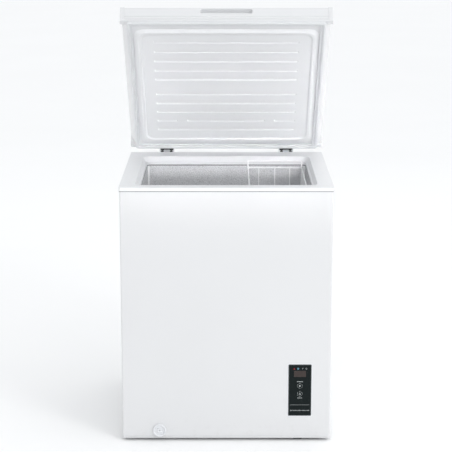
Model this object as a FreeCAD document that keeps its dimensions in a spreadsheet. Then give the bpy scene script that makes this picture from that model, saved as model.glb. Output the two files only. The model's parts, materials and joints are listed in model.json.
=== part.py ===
import FreeCAD, Part
import Sketcher
import math
import os
from FreeCAD import Vector, Placement, Rotation

# Compact chest freezer with its lid propped open, millimetres, +Z up.
# x = 0 is the middle, the front faces -Y, z = 0 is the floor.
# Cabinet depths are written from the front face of the rim (front_y) backwards.
# Lid pieces are drawn closed, about the hinge pin, and then turned by lid_open.

doc = FreeCAD.newDocument("chest_freezer")
sheet = doc.addObject("Spreadsheet::Sheet", "Dims")
row = [0]


class Size:
    """A driving dimension: its number, and the expression that names its cell."""

    def __init__(self, v, s):
        self.v = float(v)
        self.s = s

    def _mix(self, other, op, flip=False):
        o = other if isinstance(other, Size) else Size(other, "(%.6g)" % other)
        a, b = (o, self) if flip else (self, o)
        v = {"+": lambda: a.v + b.v, "-": lambda: a.v - b.v, "*": lambda: a.v * b.v, "/": lambda: a.v / b.v}[op]()
        return Size(v, "(%s %s %s)" % (a.s, op, b.s))

    def __add__(self, o): return self._mix(o, "+")
    def __radd__(self, o): return self._mix(o, "+", True)
    def __sub__(self, o): return self._mix(o, "-")
    def __rsub__(self, o): return self._mix(o, "-", True)
    def __mul__(self, o): return self._mix(o, "*")
    def __rmul__(self, o): return self._mix(o, "*", True)
    def __truediv__(self, o): return self._mix(o, "/")
    def __neg__(self): return self * -1.0


def num(q):
    return q.v if isinstance(q, Size) else float(q)


def cell(alias, value):
    row[0] += 1
    sheet.set("A%d" % row[0], alias)
    sheet.set("B%d" % row[0], str(value))
    sheet.setAlias("B%d" % row[0], alias)
    return Size(value, "Dims." + alias)


# overall
rim_width = cell("rim_width", 650)
rim_depth = cell("rim_depth", 620)
rim_top = cell("rim_top", 806)
front_y = cell("front_y", -344)        # y of the rim's front face in the row frame
shell_inset = cell("shell_inset", 2)   # sheet case sits this far inside the rim's edge
gauge = cell("sheet_gauge", 1)
shell_bottom = cell("shell_bottom", 15)
# rim frame
skirt_drop = cell("skirt_drop", 11)
rim_skin = cell("rim_skin", 3)
flat_side = cell("flat_side", 47)
flat_front = cell("flat_front", 40)
flat_rear = cell("flat_rear", 87)
slope_run = cell("slope_run", 7.5)
slope_drop = cell("slope_drop", 16)
ledge_run = cell("ledge_run", 5)
lip_drop = cell("lip_drop", 25)
wedge_out = cell("wedge_out", 12)      # how far the lip's body reaches under the flat
# liner tub
liner_width = cell("liner_width", 530)
liner_depth = cell("liner_depth", 467)
liner_mid = cell("liner_mid", 286.5)   # middle of the opening, from the front
liner_floor = cell("liner_floor", 90)
step_top = cell("step_top", 338)
step_left = cell("step_left", 85)
liner_radius = cell("liner_radius", 14)
# machine room
room_left = cell("room_left", 130)
room_top = cell("room_top", 292)
# lid
pivot_y = cell("pivot_y", 636)
pivot_z = cell("pivot_z", 786)
lid_open = cell("lid_open", 49)
lid_width = cell("lid_width", 656)
lid_flange = cell("lid_flange", 622)
lid_depth = cell("lid_depth", 620)
lid_bottom = cell("lid_bottom", 816)
lid_height = cell("lid_height", 60)
lid_gauge = cell("lid_gauge", 1.5)
trim_depth = cell("trim_depth", 18)
cap_width = cell("cap_width", 13)
hinge_x = cell("hinge_x", 204)
pin_radius = cell("pin_radius", 3)
# controls and drain
panel_x = cell("panel_x", 227.7)
panel_z = cell("panel_z", 82.7)
panel_width = cell("panel_width", 70.7)
panel_height = cell("panel_height", 166)
drain_x = cell("drain_x", -208)
drain_z = cell("drain_z", 35.5)
drain_radius = cell("drain_radius", 20.5)
doc.recompute()

nodes = []   # objects written out, in order
lid_nodes = []


def bind(obj, prop, q):
    if isinstance(q, Size):
        obj.setExpression(prop, q.s)


def place(obj, x, y, z, lid=False):
    """Lower corner or centre. Cabinet y counts from the rim front; lid sizes are about the pin."""
    if lid:
        yy, zz = y - pivot_y, z - pivot_z
    else:
        yy, zz = front_y + y, z
    obj.Placement.Base = Vector(num(x), num(yy), num(zz))
    for ax, q in (("x", x), ("y", yy), ("z", zz)):
        bind(obj, "Placement.Base." + ax, q)


def box(name, x, y, z, lx, ly, lz, lid=False):
    o = doc.addObject("Part::Box", name)
    o.Label = name
    for prop, q in (("Length", lx), ("Width", ly), ("Height", lz)):
        setattr(o, prop, num(q))
        bind(o, prop, q)
    place(o, x, y, z, lid)
    return o


def cyl(name, x, y, z, r, length, axis="z", lid=False):
    """Cylinder from (x, y, z), running along +axis."""
    o = doc.addObject("Part::Cylinder", name)
    o.Label = name
    o.Radius = num(r)
    o.Height = num(length)
    bind(o, "Radius", r)
    bind(o, "Height", length)
    rot = {"z": Rotation(), "x": Rotation(Vector(0, 1, 0), 90), "y": Rotation(Vector(1, 0, 0), -90), "-y": Rotation(Vector(1, 0, 0), 90)}[axis]
    o.Placement = Placement(Vector(), rot)
    place(o, x, y, z, lid)
    return o


def fuse(name, parts):
    o = doc.addObject("Part::MultiFuse", name)
    o.Label = name
    o.Shapes = parts
    return o


def cut(name, base, tools):
    tool = tools[0] if len(tools) == 1 else fuse(name + "_tools", tools)
    o = doc.addObject("Part::Cut", name)
    o.Label = name
    o.Base = base
    o.Tool = tool
    return o


def group(name, parts):
    o = doc.addObject("Part::Compound", name)
    o.Label = name
    o.Links = parts
    return o


def keep(obj, lid=False):
    nodes.append(obj)
    if lid:
        obj.Placement = Placement(Vector(0, num(front_y + pivot_y), num(pivot_z)), Rotation(Vector(1, 0, 0), -num(lid_open)))
        bind(obj, "Placement.Base.y", front_y + pivot_y)
        bind(obj, "Placement.Base.z", pivot_z)
        bind(obj, "Placement.Rotation.Angle", -lid_open)
        lid_nodes.append(obj.Label)
    return obj


# ---- PartDesign helpers -------------------------------------------------
def body(name):
    b = doc.addObject("PartDesign::Body", name)
    b.Label = name
    return b


def sketch(b, name, role="XY_Plane", off=(0, 0, 0)):
    s = b.newObject("Sketcher::SketchObject", name)
    plane = [f for f in b.Origin.OriginFeatures if f.Role == role][0]
    s.AttachmentSupport = [(plane, "")]
    s.MapMode = "FlatFace"
    s.AttachmentOffset = Placement(Vector(*[num(q) for q in off]), Rotation())
    for ax, q in zip("xyz", off):
        bind(s, "AttachmentOffset.Base." + ax, q)
    return s


def named(s, constraint, label, q):
    i = s.addConstraint(constraint)
    s.renameConstraint(i, label)
    if isinstance(q, Size):
        s.setExpression("Constraints." + label, q.s)


def rounded(s, w, d, r, tag=""):
    """Rounded rectangle about the sketch's own origin."""
    hw, hd, rr = num(w) / 2, num(d) / 2, num(r)
    g = len(s.Geometry)
    L, C = Part.LineSegment, Sketcher_arc
    s.addGeometry(L(Vector(-hw + rr, -hd, 0), Vector(hw - rr, -hd, 0)))
    s.addGeometry(C(hw - rr, -hd + rr, rr, -90, 0))
    s.addGeometry(L(Vector(hw, -hd + rr, 0), Vector(hw, hd - rr, 0)))
    s.addGeometry(C(hw - rr, hd - rr, rr, 0, 90))
    s.addGeometry(L(Vector(hw - rr, hd, 0), Vector(-hw + rr, hd, 0)))
    s.addGeometry(C(-hw + rr, hd - rr, rr, 90, 180))
    s.addGeometry(L(Vector(-hw, hd - rr, 0), Vector(-hw, -hd + rr, 0)))
    s.addGeometry(C(-hw + rr, -hd + rr, rr, 180, 270))
    K = Sketcher.Constraint
    for i in range(8):
        a, b2 = g + i, g + (i + 1) % 8
        s.addConstraint(K("Tangent", a, 2, b2, 1))
    for i in (0, 4):
        s.addConstraint(K("Horizontal", g + i))
    for i in (2, 6):
        s.addConstraint(K("Vertical", g + i))
    for i in (3, 5, 7):
        s.addConstraint(K("Equal", g + 1, g + i))
    s.addConstraint(K("Symmetric", g + 3, 3, g + 7, 3, -1, 1))
    named(s, K("DistanceX", g + 6, 1, g + 2, 2, 2 * hw), "wide" + tag, w)
    named(s, K("DistanceY", g + 0, 1, g + 4, 2, 2 * hd), "deep" + tag, d)
    named(s, K("Radius", g + 1, rr), "round" + tag, r)


def Sketcher_arc(cx, cy, r, a0, a1):
    return Part.ArcOfCircle(Part.Circle(Vector(cx, cy, 0), Vector(0, 0, 1), r), math.radians(a0), math.radians(a1))


def rect(s, x0, y0, w, d, tag=""):
    """Plain rectangle from its lower corner."""
    a, b2, ww, dd = num(x0), num(y0), num(w), num(d)
    poly(s, [(x0, y0), (x0 + w, y0), (x0 + w, y0 + d), (x0, y0 + d)], tag)


def poly(s, pts, tag=""):
    """Closed polygon, each corner dimensioned from the sketch's origin."""
    K = Sketcher.Constraint
    g = len(s.Geometry)
    n = len(pts)
    P = [Vector(num(p[0]), num(p[1]), 0) for p in pts]
    for i in range(n):
        s.addGeometry(Part.LineSegment(P[i], P[(i + 1) % n]))
    for i in range(n):
        s.addConstraint(K("Coincident", g + i, 2, g + (i + 1) % n, 1))
    for i in range(n):
        named(s, K("DistanceX", -1, 1, g + i, 1, P[i].x), "px%s%d" % (tag, i), pts[i][0])
        named(s, K("DistanceY", -1, 1, g + i, 1, P[i].y), "py%s%d" % (tag, i), pts[i][1])


def circle(s, x, y, r, tag=""):
    K = Sketcher.Constraint
    g = len(s.Geometry)
    s.addGeometry(Part.Circle(Vector(num(x), num(y), 0), Vector(0, 0, 1), num(r)))
    named(s, K("DistanceX", -1, 1, g, 3, num(x)), "cx" + tag, x)
    named(s, K("DistanceY", -1, 1, g, 3, num(y)), "cy" + tag, y)
    named(s, K("Radius", g, num(r)), "cr" + tag, r)


def pad(b, s, length, reverse=False):
    f = b.newObject("PartDesign::Pad", s.Name + "_pad")
    f.Profile = s
    f.Length = num(length)
    bind(f, "Length", length)
    f.Reversed = reverse
    b.Tip = f
    return f


def pocket(b, s, length, reverse=False):
    f = b.newObject("PartDesign::Pocket", s.Name + "_pocket")
    f.Profile = s
    f.Length = num(length)
    bind(f, "Length", length)
    f.Reversed = reverse
    b.Tip = f
    return f


def loft(b, first, others, subtract=False):
    f = b.newObject("PartDesign::SubtractiveLoft" if subtract else "PartDesign::AdditiveLoft", first.Name + "_loft")
    f.Profile = first
    f.Sections = others
    f.Ruled = True
    b.Tip = f
    return f


def revolve(b, s, axis="V_Axis", angle=360):
    f = b.newObject("PartDesign::Revolution", s.Name + "_rev")
    f.Profile = s
    f.ReferenceAxis = (s, [axis])
    f.Angle = angle
    b.Tip = f
    return f


# ---- round bar and tube along straight runs and tangent arcs -------------
def route(pts, bend):
    edges = []
    P = [Vector(*p) for p in pts]
    start = P[0]
    for i in range(1, len(P) - 1):
        a = (P[i - 1] - P[i]).normalize()
        c = (P[i + 1] - P[i]).normalize()
        ang = a.getAngle(c)
        if abs(math.pi - ang) < 1e-4:
            continue
        t = bend / math.tan(ang / 2)
        t = min(t, 0.48 * (P[i - 1] - P[i]).Length, 0.48 * (P[i + 1] - P[i]).Length)
        r = t * math.tan(ang / 2)
        p1, p2 = P[i] + a * t, P[i] + c * t
        bis = (a + c).normalize()
        mid = P[i] + bis * (r / math.sin(ang / 2) - r)
        if (p1 - start).Length > 1e-6:
            edges.append(Part.LineSegment(start, p1).toShape())
        edges.append(Part.Arc(p1, mid, p2).toShape())
        start = p2
    if (P[-1] - start).Length > 1e-6:
        edges.append(Part.LineSegment(start, P[-1]).toShape())
    return Part.Wire(edges)


def bar_shape(pts, r, bend):
    w = route(pts, bend)
    d = Vector(*pts[1]) - Vector(*pts[0])
    prof = Part.Wire([Part.makeCircle(r, Vector(*pts[0]), d)])
    return w.makePipeShell([prof], True, True)


def bar(name, pts, r, bend):
    s = bar_shape(pts, r, bend)
    w = route(pts, bend)
    ratio = s.Volume / (math.pi * r * r * w.Length)
    assert s.isValid() and abs(ratio - 1) < 0.03, (name, ratio)
    o = doc.addObject("Part::Feature", name)
    o.Label = name
    o.Shape = s
    return o


HALF = rim_width / 2
FY = num(front_y)

# =========================================================================
# Cabinet case
# =========================================================================
# Outer wrap: one sheet bent round the front and both sides, open at the back.
shell_half = HALF - shell_inset
shell_back = rim_depth - shell_inset
b = body("wrap_blank")
s = sketch(b, "wrap_out", off=(0, front_y + shell_inset + (shell_back - shell_inset) / 2, shell_bottom))
rounded(s, shell_half * 2, shell_back - shell_inset, 5)
pad(b, s, rim_top - rim_skin - shell_bottom)
s = sketch(b, "wrap_in", off=(0, front_y + shell_inset + (shell_back - shell_inset) / 2, shell_bottom))
rounded(s, shell_half * 2 - gauge * 2, shell_back - shell_inset - gauge * 2, 4)
pocket(b, s, rim_top - rim_skin - shell_bottom, True)
wrap_open = box("wrap_open", -(shell_half + 1), shell_back - 6, shell_bottom - 1, shell_half * 2 + 2, 8, rim_top)
panel_hole = box("panel_hole", panel_x - 30, shell_inset - 2, panel_z + 8, 60, 8, panel_height - 16)
drain_hole = cyl("drain_hole", drain_x, shell_inset - 2, drain_z, 12, 8, "y")
vent_hole = box("vent_hole", shell_half - 4, 372, 58, 8, 176, 134)
keep(cut("outer_wrap", b, [wrap_open, panel_hole, drain_hole, vent_hole]))

# Back sheet, with the machine room's opening and the hinge, gland and pipe areas left plain.
back_y = shell_back - 6
bp = box("back_blank", -(shell_half - gauge), back_y, shell_bottom, (shell_half - gauge) * 2, gauge, rim_top - rim_skin - shell_bottom)
flange_tall = rim_top - skirt_drop - 0.3 - shell_bottom
bl = box("back_flange_left", -(shell_half - gauge), back_y, shell_bottom, 1, 5.5, flange_tall)
br = box("back_flange_right", shell_half - gauge - 1, back_y, shell_bottom, 1, 5.5, flange_tall)
cover_at = ((138, 34), (312, 34), (138, 268), (312, 268))
back_holes = [cyl("back_screw_hole%d" % i, x, back_y - 4, z, 1.7, 12, "y") for i, (x, z) in enumerate(cover_at)]
hinge_screw_z = rim_top - 132
back_holes += [cyl("hinge_screw_hole%d" % i, x, back_y - 4, hinge_screw_z, 1.7, 12, "y") for i, x in enumerate((-214, -194, 194, 214))]
room_hole = box("room_hole", 142, back_y - 2, 34, 168, 6, 234)
keep(cut("back_panel", fuse("back_solid", [bp, bl, br]), [room_hole] + back_holes))

# Base pan: a folded tray under the foam and the machine room.
inner_half = shell_half - gauge
pan_y = shell_inset + gauge
pan_len = back_y - pan_y
b = body("pan_blank")
s = sketch(b, "pan_out", off=(0, front_y + pan_y + pan_len / 2, shell_bottom))
rounded(s, inner_half * 2, pan_len, 4)
pad(b, s, 14)
s = sketch(b, "pan_in", off=(0, front_y + pan_y + pan_len / 2, shell_bottom + gauge * 1.2))
rounded(s, inner_half * 2 - gauge * 2.4, pan_len - gauge * 2.4, 2.8)
pocket(b, s, 14, True)
drain_notch = cyl("drain_notch", drain_x, pan_y - 3, drain_z, 11.5, 12, "y")
pan_plain = b
keep(cut("base_pan", b, [drain_notch]))

# Machine room wall: an L of sheet that holds the foam back over the compressor.
mw_y = pan_y + gauge * 1.2 + 0.3
mw_len = back_y - mw_y - 1.6
b = body("room_wall_blank")
s = sketch(b, "room_profile", "XZ_Plane", off=(0, 0, -(front_y + mw_y)))
pz = shell_bottom + gauge * 1.2
poly(s, [(room_left, pz), (room_left + gauge, pz), (room_left + gauge, room_top), (inner_half - 1.7, room_top), (inner_half - 1.7, room_top + gauge), (room_left, room_top + gauge)])
pad(b, s, mw_len, True)
tube_ports = [box("tube_port_right", 311, 552, room_top - 3, 11, 16, 8), box("tube_port_back", 268, 528, room_top - 3, 20, 22, 8)]
keep(cut("machine_room_wall", b, tube_ports))

# Rim frame: one moulded collar with skirt, flat top, slope, ledge and lip.
b = body("rim_frame")
cy_all = front_y + rim_depth / 2
cy_open = front_y + (flat_front + rim_depth - flat_rear) / 2
w1 = rim_width - flat_side * 2
d1 = rim_depth - flat_front - flat_rear
w2, d2 = w1 - slope_run * 2, d1 - slope_run * 2
w3, d3 = w2 - ledge_run * 2, d2 - ledge_run * 2
lip_z = rim_top - lip_drop
s = sketch(b, "rim_skirt", off=(0, cy_all, rim_top))
rounded(s, rim_width, rim_depth, 6)
pad(b, s, skirt_drop, True)
s = sketch(b, "rim_wedge", off=(0, cy_open, rim_top))
rounded(s, w1 + wedge_out * 2, d1 + wedge_out * 2, 30)
pad(b, s, lip_drop, True)
s = sketch(b, "rim_slope_top", off=(0, cy_open, rim_top))
rounded(s, w1, d1, 26)
s2 = sketch(b, "rim_slope_low", off=(0, cy_open, rim_top - slope_drop))
rounded(s2, w2, d2, 20)
loft(b, s, [s2], True)
s = sketch(b, "rim_throat", off=(0, cy_open, rim_top - slope_drop))
rounded(s, w3, d3, 15)
pocket(b, s, lip_drop)
# hollow under the flat, between skirt and lip
hollow = body("rim_hollow_form")
s = sketch(hollow, "hollow_out", off=(0, cy_all, rim_top - rim_skin))
rounded(s, shell_half * 2, shell_back - shell_inset, 5)
pad(hollow, s, lip_drop, True)
s = sketch(hollow, "hollow_core", off=(0, cy_open, rim_top - rim_skin + 1))
rounded(s, w1 + wedge_out * 2, d1 + wedge_out * 2, 30)
pocket(hollow, s, lip_drop + 2)
b.Label = "rim_blank"
keep(cut("rim_frame_cut", b, [hollow])).Label = "rim_frame"

# Liner tub: pressed sheet with a raised step over the machine room.
cy_l = front_y + liner_mid
left_x = -(liner_width / 2)


def tub(name, grow, top, flange):
    """Outer or inner form of the tub: the deep well, and the shallower well over the step."""
    t = body(name)
    u = sketch(t, name + "_deep", off=((left_x + step_left) / 2, cy_l, liner_floor - grow))
    rounded(u, step_left - left_x + grow * 2, liner_depth + grow * 2, liner_radius + grow)
    pad(t, u, top - liner_floor + grow)
    u = sketch(t, name + "_full", off=(0, cy_l, step_top - grow))
    rounded(u, liner_width + grow * 2, liner_depth + grow * 2, liner_radius + grow)
    pad(t, u, top - step_top + grow)
    if flange:
        u = sketch(t, name + "_flange", off=(0, cy_l, lip_z - gauge))
        rounded(u, liner_width + 22, liner_depth + 22, 22)
        pad(t, u, gauge)
    return t


tub_out = tub("tub_outside", gauge, lip_z, True)
tub_in = tub("tub_inside", 0, lip_z + 1, False)
floor_drain = cyl("floor_drain", drain_x, 90, liner_floor - 4, 8, 8)
keep(cut("inner_liner", tub_out, [tub_in, floor_drain])).Label = "inner_liner"

# =========================================================================
# Cooling circuit
# =========================================================================
# Evaporator: tube wound round the tub, in the foam.
ex = num(liner_width) / 2 + 1 + 4.6
ef = num(liner_mid) - num(liner_depth) / 2 - 1 - 4.6
eb = num(liner_mid) + num(liner_depth) / 2 + 1 + 4.6
pts = [(ex + 8, FY + eb + 14, 250), (ex + 8, FY + eb + 14, 378)]
z = 400
for i in range(4):
    pts += [(ex - 140, FY + eb, z), (-ex, FY + eb, z), (-ex, FY + ef, z), (ex, FY + ef, z), (ex, FY + eb, z)]
    pts += [(ex - 60, FY + eb, z + 22)]
    z += 84
evap = keep(bar("evaporator_tube", pts, 4, 14))
# Condenser: serpentine behind the right side sheet.
cx = num(shell_half) - 1 - 3.6
pts = [(cx, FY + 560, 250)]
z, side = 340, 0
pts.append((cx, FY + 560, z))
for i in range(6):
    pts += [(cx, FY + (60 if i % 2 == 0 else 540), z), (cx, FY + (60 if i % 2 == 0 else 540), z + 62)]
    z += 62
cond = keep(bar("condenser_tube", pts, 2.5, 14))
# Drain pipe from the tub floor forward to the front plug.
dx, dz = num(drain_x), num(drain_z)
drain_pts = [(dx, FY + 90, num(liner_floor) - 1), (dx, FY + 90, dz), (dx, FY + 1.2 + 2, dz)]
dp_out = bar("drain_pipe_out", drain_pts, 11, 24)
dp_in = bar("drain_pipe_in", [(dx, FY + 90, num(liner_floor) + 2)] + [drain_pts[1]] + [(dx, FY - 2, dz)], 9, 24)
keep(cut("drain_pipe", dp_out, [dp_in]))

# Foam: everything between case and tub.
foam_block = box("foam_block", -(inner_half - 1.3), pan_y + 1.3, shell_bottom + gauge * 1.2, (inner_half - 1.3) * 2, pan_len - 1.4, rim_top - rim_skin - shell_bottom - gauge * 1.2)
throat = body("throat_form")
s = sketch(throat, "throat_out", off=(0, cy_open, lip_z))
rounded(s, w1 + wedge_out * 2, d1 + wedge_out * 2, 30)
pad(throat, s, lip_drop)
tub_form = tub("tub_form", gauge, lip_z, True)
room_form = box("room_form", room_left, pan_y, shell_bottom, inner_half, rim_depth, room_top + gauge - shell_bottom)
foam_screws = [cyl("foam_screw_hole%d" % i, x, back_y - 9, hinge_screw_z, 2.0, 12, "y") for i, x in enumerate((-214, -194, 194, 214))]
foam = cut("foam_insulation", foam_block, [throat, tub_form, room_form, evap, cond, dp_out, pan_plain] + foam_screws)
keep(foam)

# Compressor: welded can on a bracket, four rubber grommets and a base plate.
cpx, cpy = 226, 496
b = body("compressor")
s = sketch(b, "can_profile", "XZ_Plane", off=(0, 0, 0))
prof = [(0, 40), (30, 41), (50, 48), (60, 62), (62, 76), (62, 108), (66, 108), (66, 112), (62, 112), (61, 140), (55, 160), (42, 174), (22, 181), (0, 183)]
poly(s, prof)
revolve(b, s, "V_Axis")
b.Placement.Base = Vector(cpx, FY + cpy, 0)
bind(b, "Placement.Base.y", front_y + cpy)
keep(b)
brk = box("bracket_plate", cpx - 82, cpy - 62, 37, 164, 124, 2.6)
brk_hole = cyl("bracket_can_seat", cpx, cpy, 34, 34, 10)
bh = [cyl("bracket_hole%d" % i, cpx + sx * 70, cpy + sy * 50, 30, 6.2, 14) for i, (sx, sy) in enumerate(((1, 1), (1, -1), (-1, 1), (-1, -1)))]
brk_feet = [box("bracket_saddle%d" % i, cpx - 40 + i * 68, cpy - 40, 39.6, 12, 80, 5.4) for i in range(2)]
can_form = body("can_form")
s = sketch(can_form, "can_form_profile", "XZ_Plane", off=(0, 0, 0))
poly(s, [(0, 39.6), (30, 40.6), (50.3, 47.6), (60.4, 61.6), (62.4, 76), (62.4, 100), (0, 100)])
revolve(can_form, s, "V_Axis")
can_form.Placement.Base = Vector(cpx, FY + cpy, 0)
bind(can_form, "Placement.Base.y", front_y + cpy)
keep(cut("compressor_bracket", fuse("bracket_solid", [brk] + brk_feet), [brk_hole, can_form] + bh))
grs, bolts = [], []
for i, (sx, sy) in enumerate(((1, 1), (1, -1), (-1, 1), (-1, -1))):
    gx, gy = cpx + sx * 70, cpy + sy * 50
    g1 = cyl("grommet_low%d" % i, gx, gy, 20.2, 10.5, 16.8)
    g2 = cyl("grommet_neck%d" % i, gx, gy, 20.2, 6.2, 22)
    g3 = cyl("grommet_top%d" % i, gx, gy, 39.6, 9, 4)
    gh = cyl("grommet_bore%d" % i, gx, gy, 19, 3.6, 30)
    grs.append(cut("grommet%d" % i, fuse("grommet_solid%d" % i, [g1, g2, g3]), [gh]))
    h = cyl("bolt_head%d" % i, gx, gy, 44, 6.5, 4.4)
    w = cyl("bolt_washer%d" % i, gx, gy, 43.6, 8.5, 1.2)
    sh = cyl("bolt_shank%d" % i, gx, gy, 18.8, 3.5, 26)
    bolts.append(fuse("bolt%d" % i, [h, w, sh]))
keep(group("compressor_grommets", grs))
keep(group("compressor_bolts", bolts))
# Base plate under the pan: it shows below the cabinet's front edge.
rail = box("rail_plate", 150, 14, shell_bottom - 2.5, 146, 590, 2.5)
seat = box("rail_seat", 140, cpy - 66, shell_bottom + gauge * 1.2, 172, 132, 2.6)
keep(rail).Label = "compressor_rail"
keep(seat).Label = "compressor_base_plate"
screws = []
for i, (gx, gy) in enumerate(((161, 22), (284.5, 22), (161, 594), (284.5, 594))):
    screws.append(fuse("rail_screw%d" % i, [cyl("rail_screw_head%d" % i, gx, gy, 8.7, 4.2, 3.8), cyl("rail_screw_washer%d" % i, gx, gy, 11.5, 6, 1)]))
keep(group("rail_screws", screws))
# Relay cover on the can's side, drier and pipes.
rb = box("relay_blank", cpx - 24, cpy - 88, 84, 48, 30, 52)
rf = doc.addObject("Part::Fillet", "relay_rounded")
rf.Base = rb
rf.Edges = [(i, 4.0, 4.0) for i in (1, 3, 5, 7)]
doc.recompute()
can_form2 = body("can_form_relay")
s = sketch(can_form2, "can_form_relay_profile", "XZ_Plane", off=(0, 0, 0))
poly(s, [(0, 60), (66.4, 60), (66.4, 150), (0, 150)])
revolve(can_form2, s, "V_Axis")
can_form2.Placement.Base = Vector(cpx, FY + cpy, 0)
bind(can_form2, "Placement.Base.y", front_y + cpy)
keep(cut("relay_cover", rf, [can_form2]))
dr = body("filter_drier")
s = sketch(dr, "drier_profile", "XZ_Plane", off=(0, 0, 0))
poly(s, [(0, 0), (3.5, 0), (4, 8), (9.5, 16), (9.5, 84), (4, 93), (2.5, 102), (0, 102)])
revolve(dr, s, "V_Axis")
dr.Placement.Base = Vector(150, FY + 410, 60)
bind(dr, "Placement.Base.y", front_y + 410)
keep(dr)
keep(bar("suction_pipe", [(cpx + 30, FY + cpy + 66, 66), (cpx + 30, FY + cpy + 92, 66), (num(ex) + 8, FY + cpy + 92, 130), (num(ex) + 8, FY + eb + 14, 210), (num(ex) + 8, FY + eb + 14, 249.7)], 3.6, 14))
keep(bar("discharge_pipe", [(cpx + 66.5, FY + cpy + 20, 74), (cpx + 84, FY + cpy + 20, 74), (cpx + 84, FY + 560, 150), (cx, FY + 560, 200), (cx, FY + 560, 249.7)], 2.5, 9))

# Rear cover of the machine room: sheet with rows of air slots and four screws.
cov = box("cover_blank", 134, back_y + gauge, 26, 182, gauge, 250)
slots = []
for r in range(8):
    for c in range(2):
        slots.append(box("cover_slot_%d_%d" % (r, c), 150 + c * 80, back_y, 96 + r * 18, 66, 4, 6))
slots += [cyl("cover_screw_hole%d" % i, x, back_y - 2, z, 1.7, 8, "y") for i, (x, z) in enumerate(cover_at)]
slots.append(cyl("cover_gland_hole", 165, back_y - 2, 58, 3.6, 8, "y"))
keep(cut("compressor_cover", cov, slots))


def pan_head(name, x, y, z, axis, length=6, r=4):
    """Pan-head screw: domed head with a cross recess, and its shank behind."""
    t = body(name)
    u = sketch(t, name + "_p", "XZ_Plane", off=(0, 0, 0))
    poly(u, [(0, -length), (1.6, -length), (1.6, 0), (r, 0), (r, 0.9), (r * 0.72, 2.0), (r * 0.3, 2.4), (0, 2.4)])
    revolve(t, u, "V_Axis")
    u = sketch(t, name + "_c", off=(0, 0, 1.2))
    poly(u, [(-0.45, -2), (0.45, -2), (0.45, -0.45), (2, -0.45), (2, 0.45), (0.45, 0.45), (0.45, 2), (-0.45, 2), (-0.45, 0.45), (-2, 0.45), (-2, -0.45), (-0.45, -0.45)])
    pocket(t, u, 3, True)
    rot = {"+y": Rotation(Vector(1, 0, 0), -90), "-y": Rotation(Vector(1, 0, 0), 90), "z": Rotation(), "-z": Rotation(Vector(1, 0, 0), 180)}[axis]
    t.Placement = Placement(Vector(x, FY + y, z), rot)
    bind(t, "Placement.Base.y", front_y + y)
    return t


cov_out = num(back_y) + 2
keep(group("cover_screws", [pan_head("cover_screw%d" % i, x, cov_out, z, "+y", 3) for i, (x, z) in enumerate(cover_at)]))
# Side vent grille in the right side sheet.
gr = box("grille_plate", shell_half, 364, 50, 1.6, 192, 150)
gt = box("grille_tongue", shell_half - 3, 372.4, 58.4, 3, 175.2, 133.2)
gs = [box("grille_slot%d" % i, shell_half - 5, 380, 66 + i * 13, 10, 160, 6.5) for i in range(9)]
keep(cut("side_vent_grille", fuse("grille_solid", [gr, gt]), gs))
# Gland for the mains lead, in the rear cover.
g1 = cyl("gland_flange", 165, cov_out, 58, 10, 2.4, "y")
keep(cut("mains_gland", g1, [cyl("gland_bore", 165, cov_out - 1, 58, 3.6, 6, "y")]))

# =========================================================================
# Controls: fascia, window, two keys, housing and board
# =========================================================================
face_y = 0.3
b = body("fascia_blank")
s = sketch(b, "fascia_profile", "XZ_Plane", off=(panel_x, panel_z + panel_height / 2, -(front_y + face_y)))
rounded(s, panel_width, panel_height, 2)
pad(b, s, shell_inset - face_y, True)
win_hole = box("window_hole", panel_x - 18.7, -2, panel_z + 126.0, 37.4, 8, 20.4)
kh1 = cyl("key_hole_up", panel_x, -2, panel_z + 97.1, 9.6, 8, "y")
kh2 = cyl("key_hole_set", panel_x, -2, panel_z + 71.1, 9.6, 8, "y")
keep(cut("control_fascia", b, [win_hole, kh1, kh2]))
keep(box("display_window", panel_x - 18.5, face_y, panel_z + 126.2, 37, 1.6, 20))
hb = box("housing_blank", panel_x - 29.5, shell_inset, panel_z + 8.5, 59, 24, panel_height - 17)
hi = box("housing_hollow", panel_x - 27.5, shell_inset - 1, panel_z + 10.5, 55, 23, panel_height - 21)
keep(cut("control_housing", hb, [hi]))
pcb = box("board_plate", panel_x - 27, 9, panel_z + 14, 54, 1.6, panel_height - 28)
chips = [box("board_chip%d" % i, panel_x - 20 + dx_, 10.6, panel_z + 30 + dz_, 12, 4, 16) for i, (dx_, dz_) in enumerate(((0, 0), (22, 6), (4, 40)))]
disp = box("board_display", panel_x - 17, 3.2, panel_z + 127.7, 34, 5.8, 17)
sw = [cyl("board_switch%d" % i, panel_x, 4.6, panel_z + zz, 4, 4.4, "y") for i, zz in enumerate((97.1, 71.1))]
keep(fuse("control_board", [pcb, disp] + chips + sw))
for nm, zz in (("key_adjust", 97.1), ("key_set", 71.1)):
    k1 = cyl(nm + "_cap", panel_x, face_y, panel_z + zz, 9.3, 1.7, "y")
    k2 = cyl(nm + "_stem", panel_x, face_y + 1.7, panel_z + zz, 4, 1.6, "y")
    keep(fuse(nm, [k1, k2]))

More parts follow.
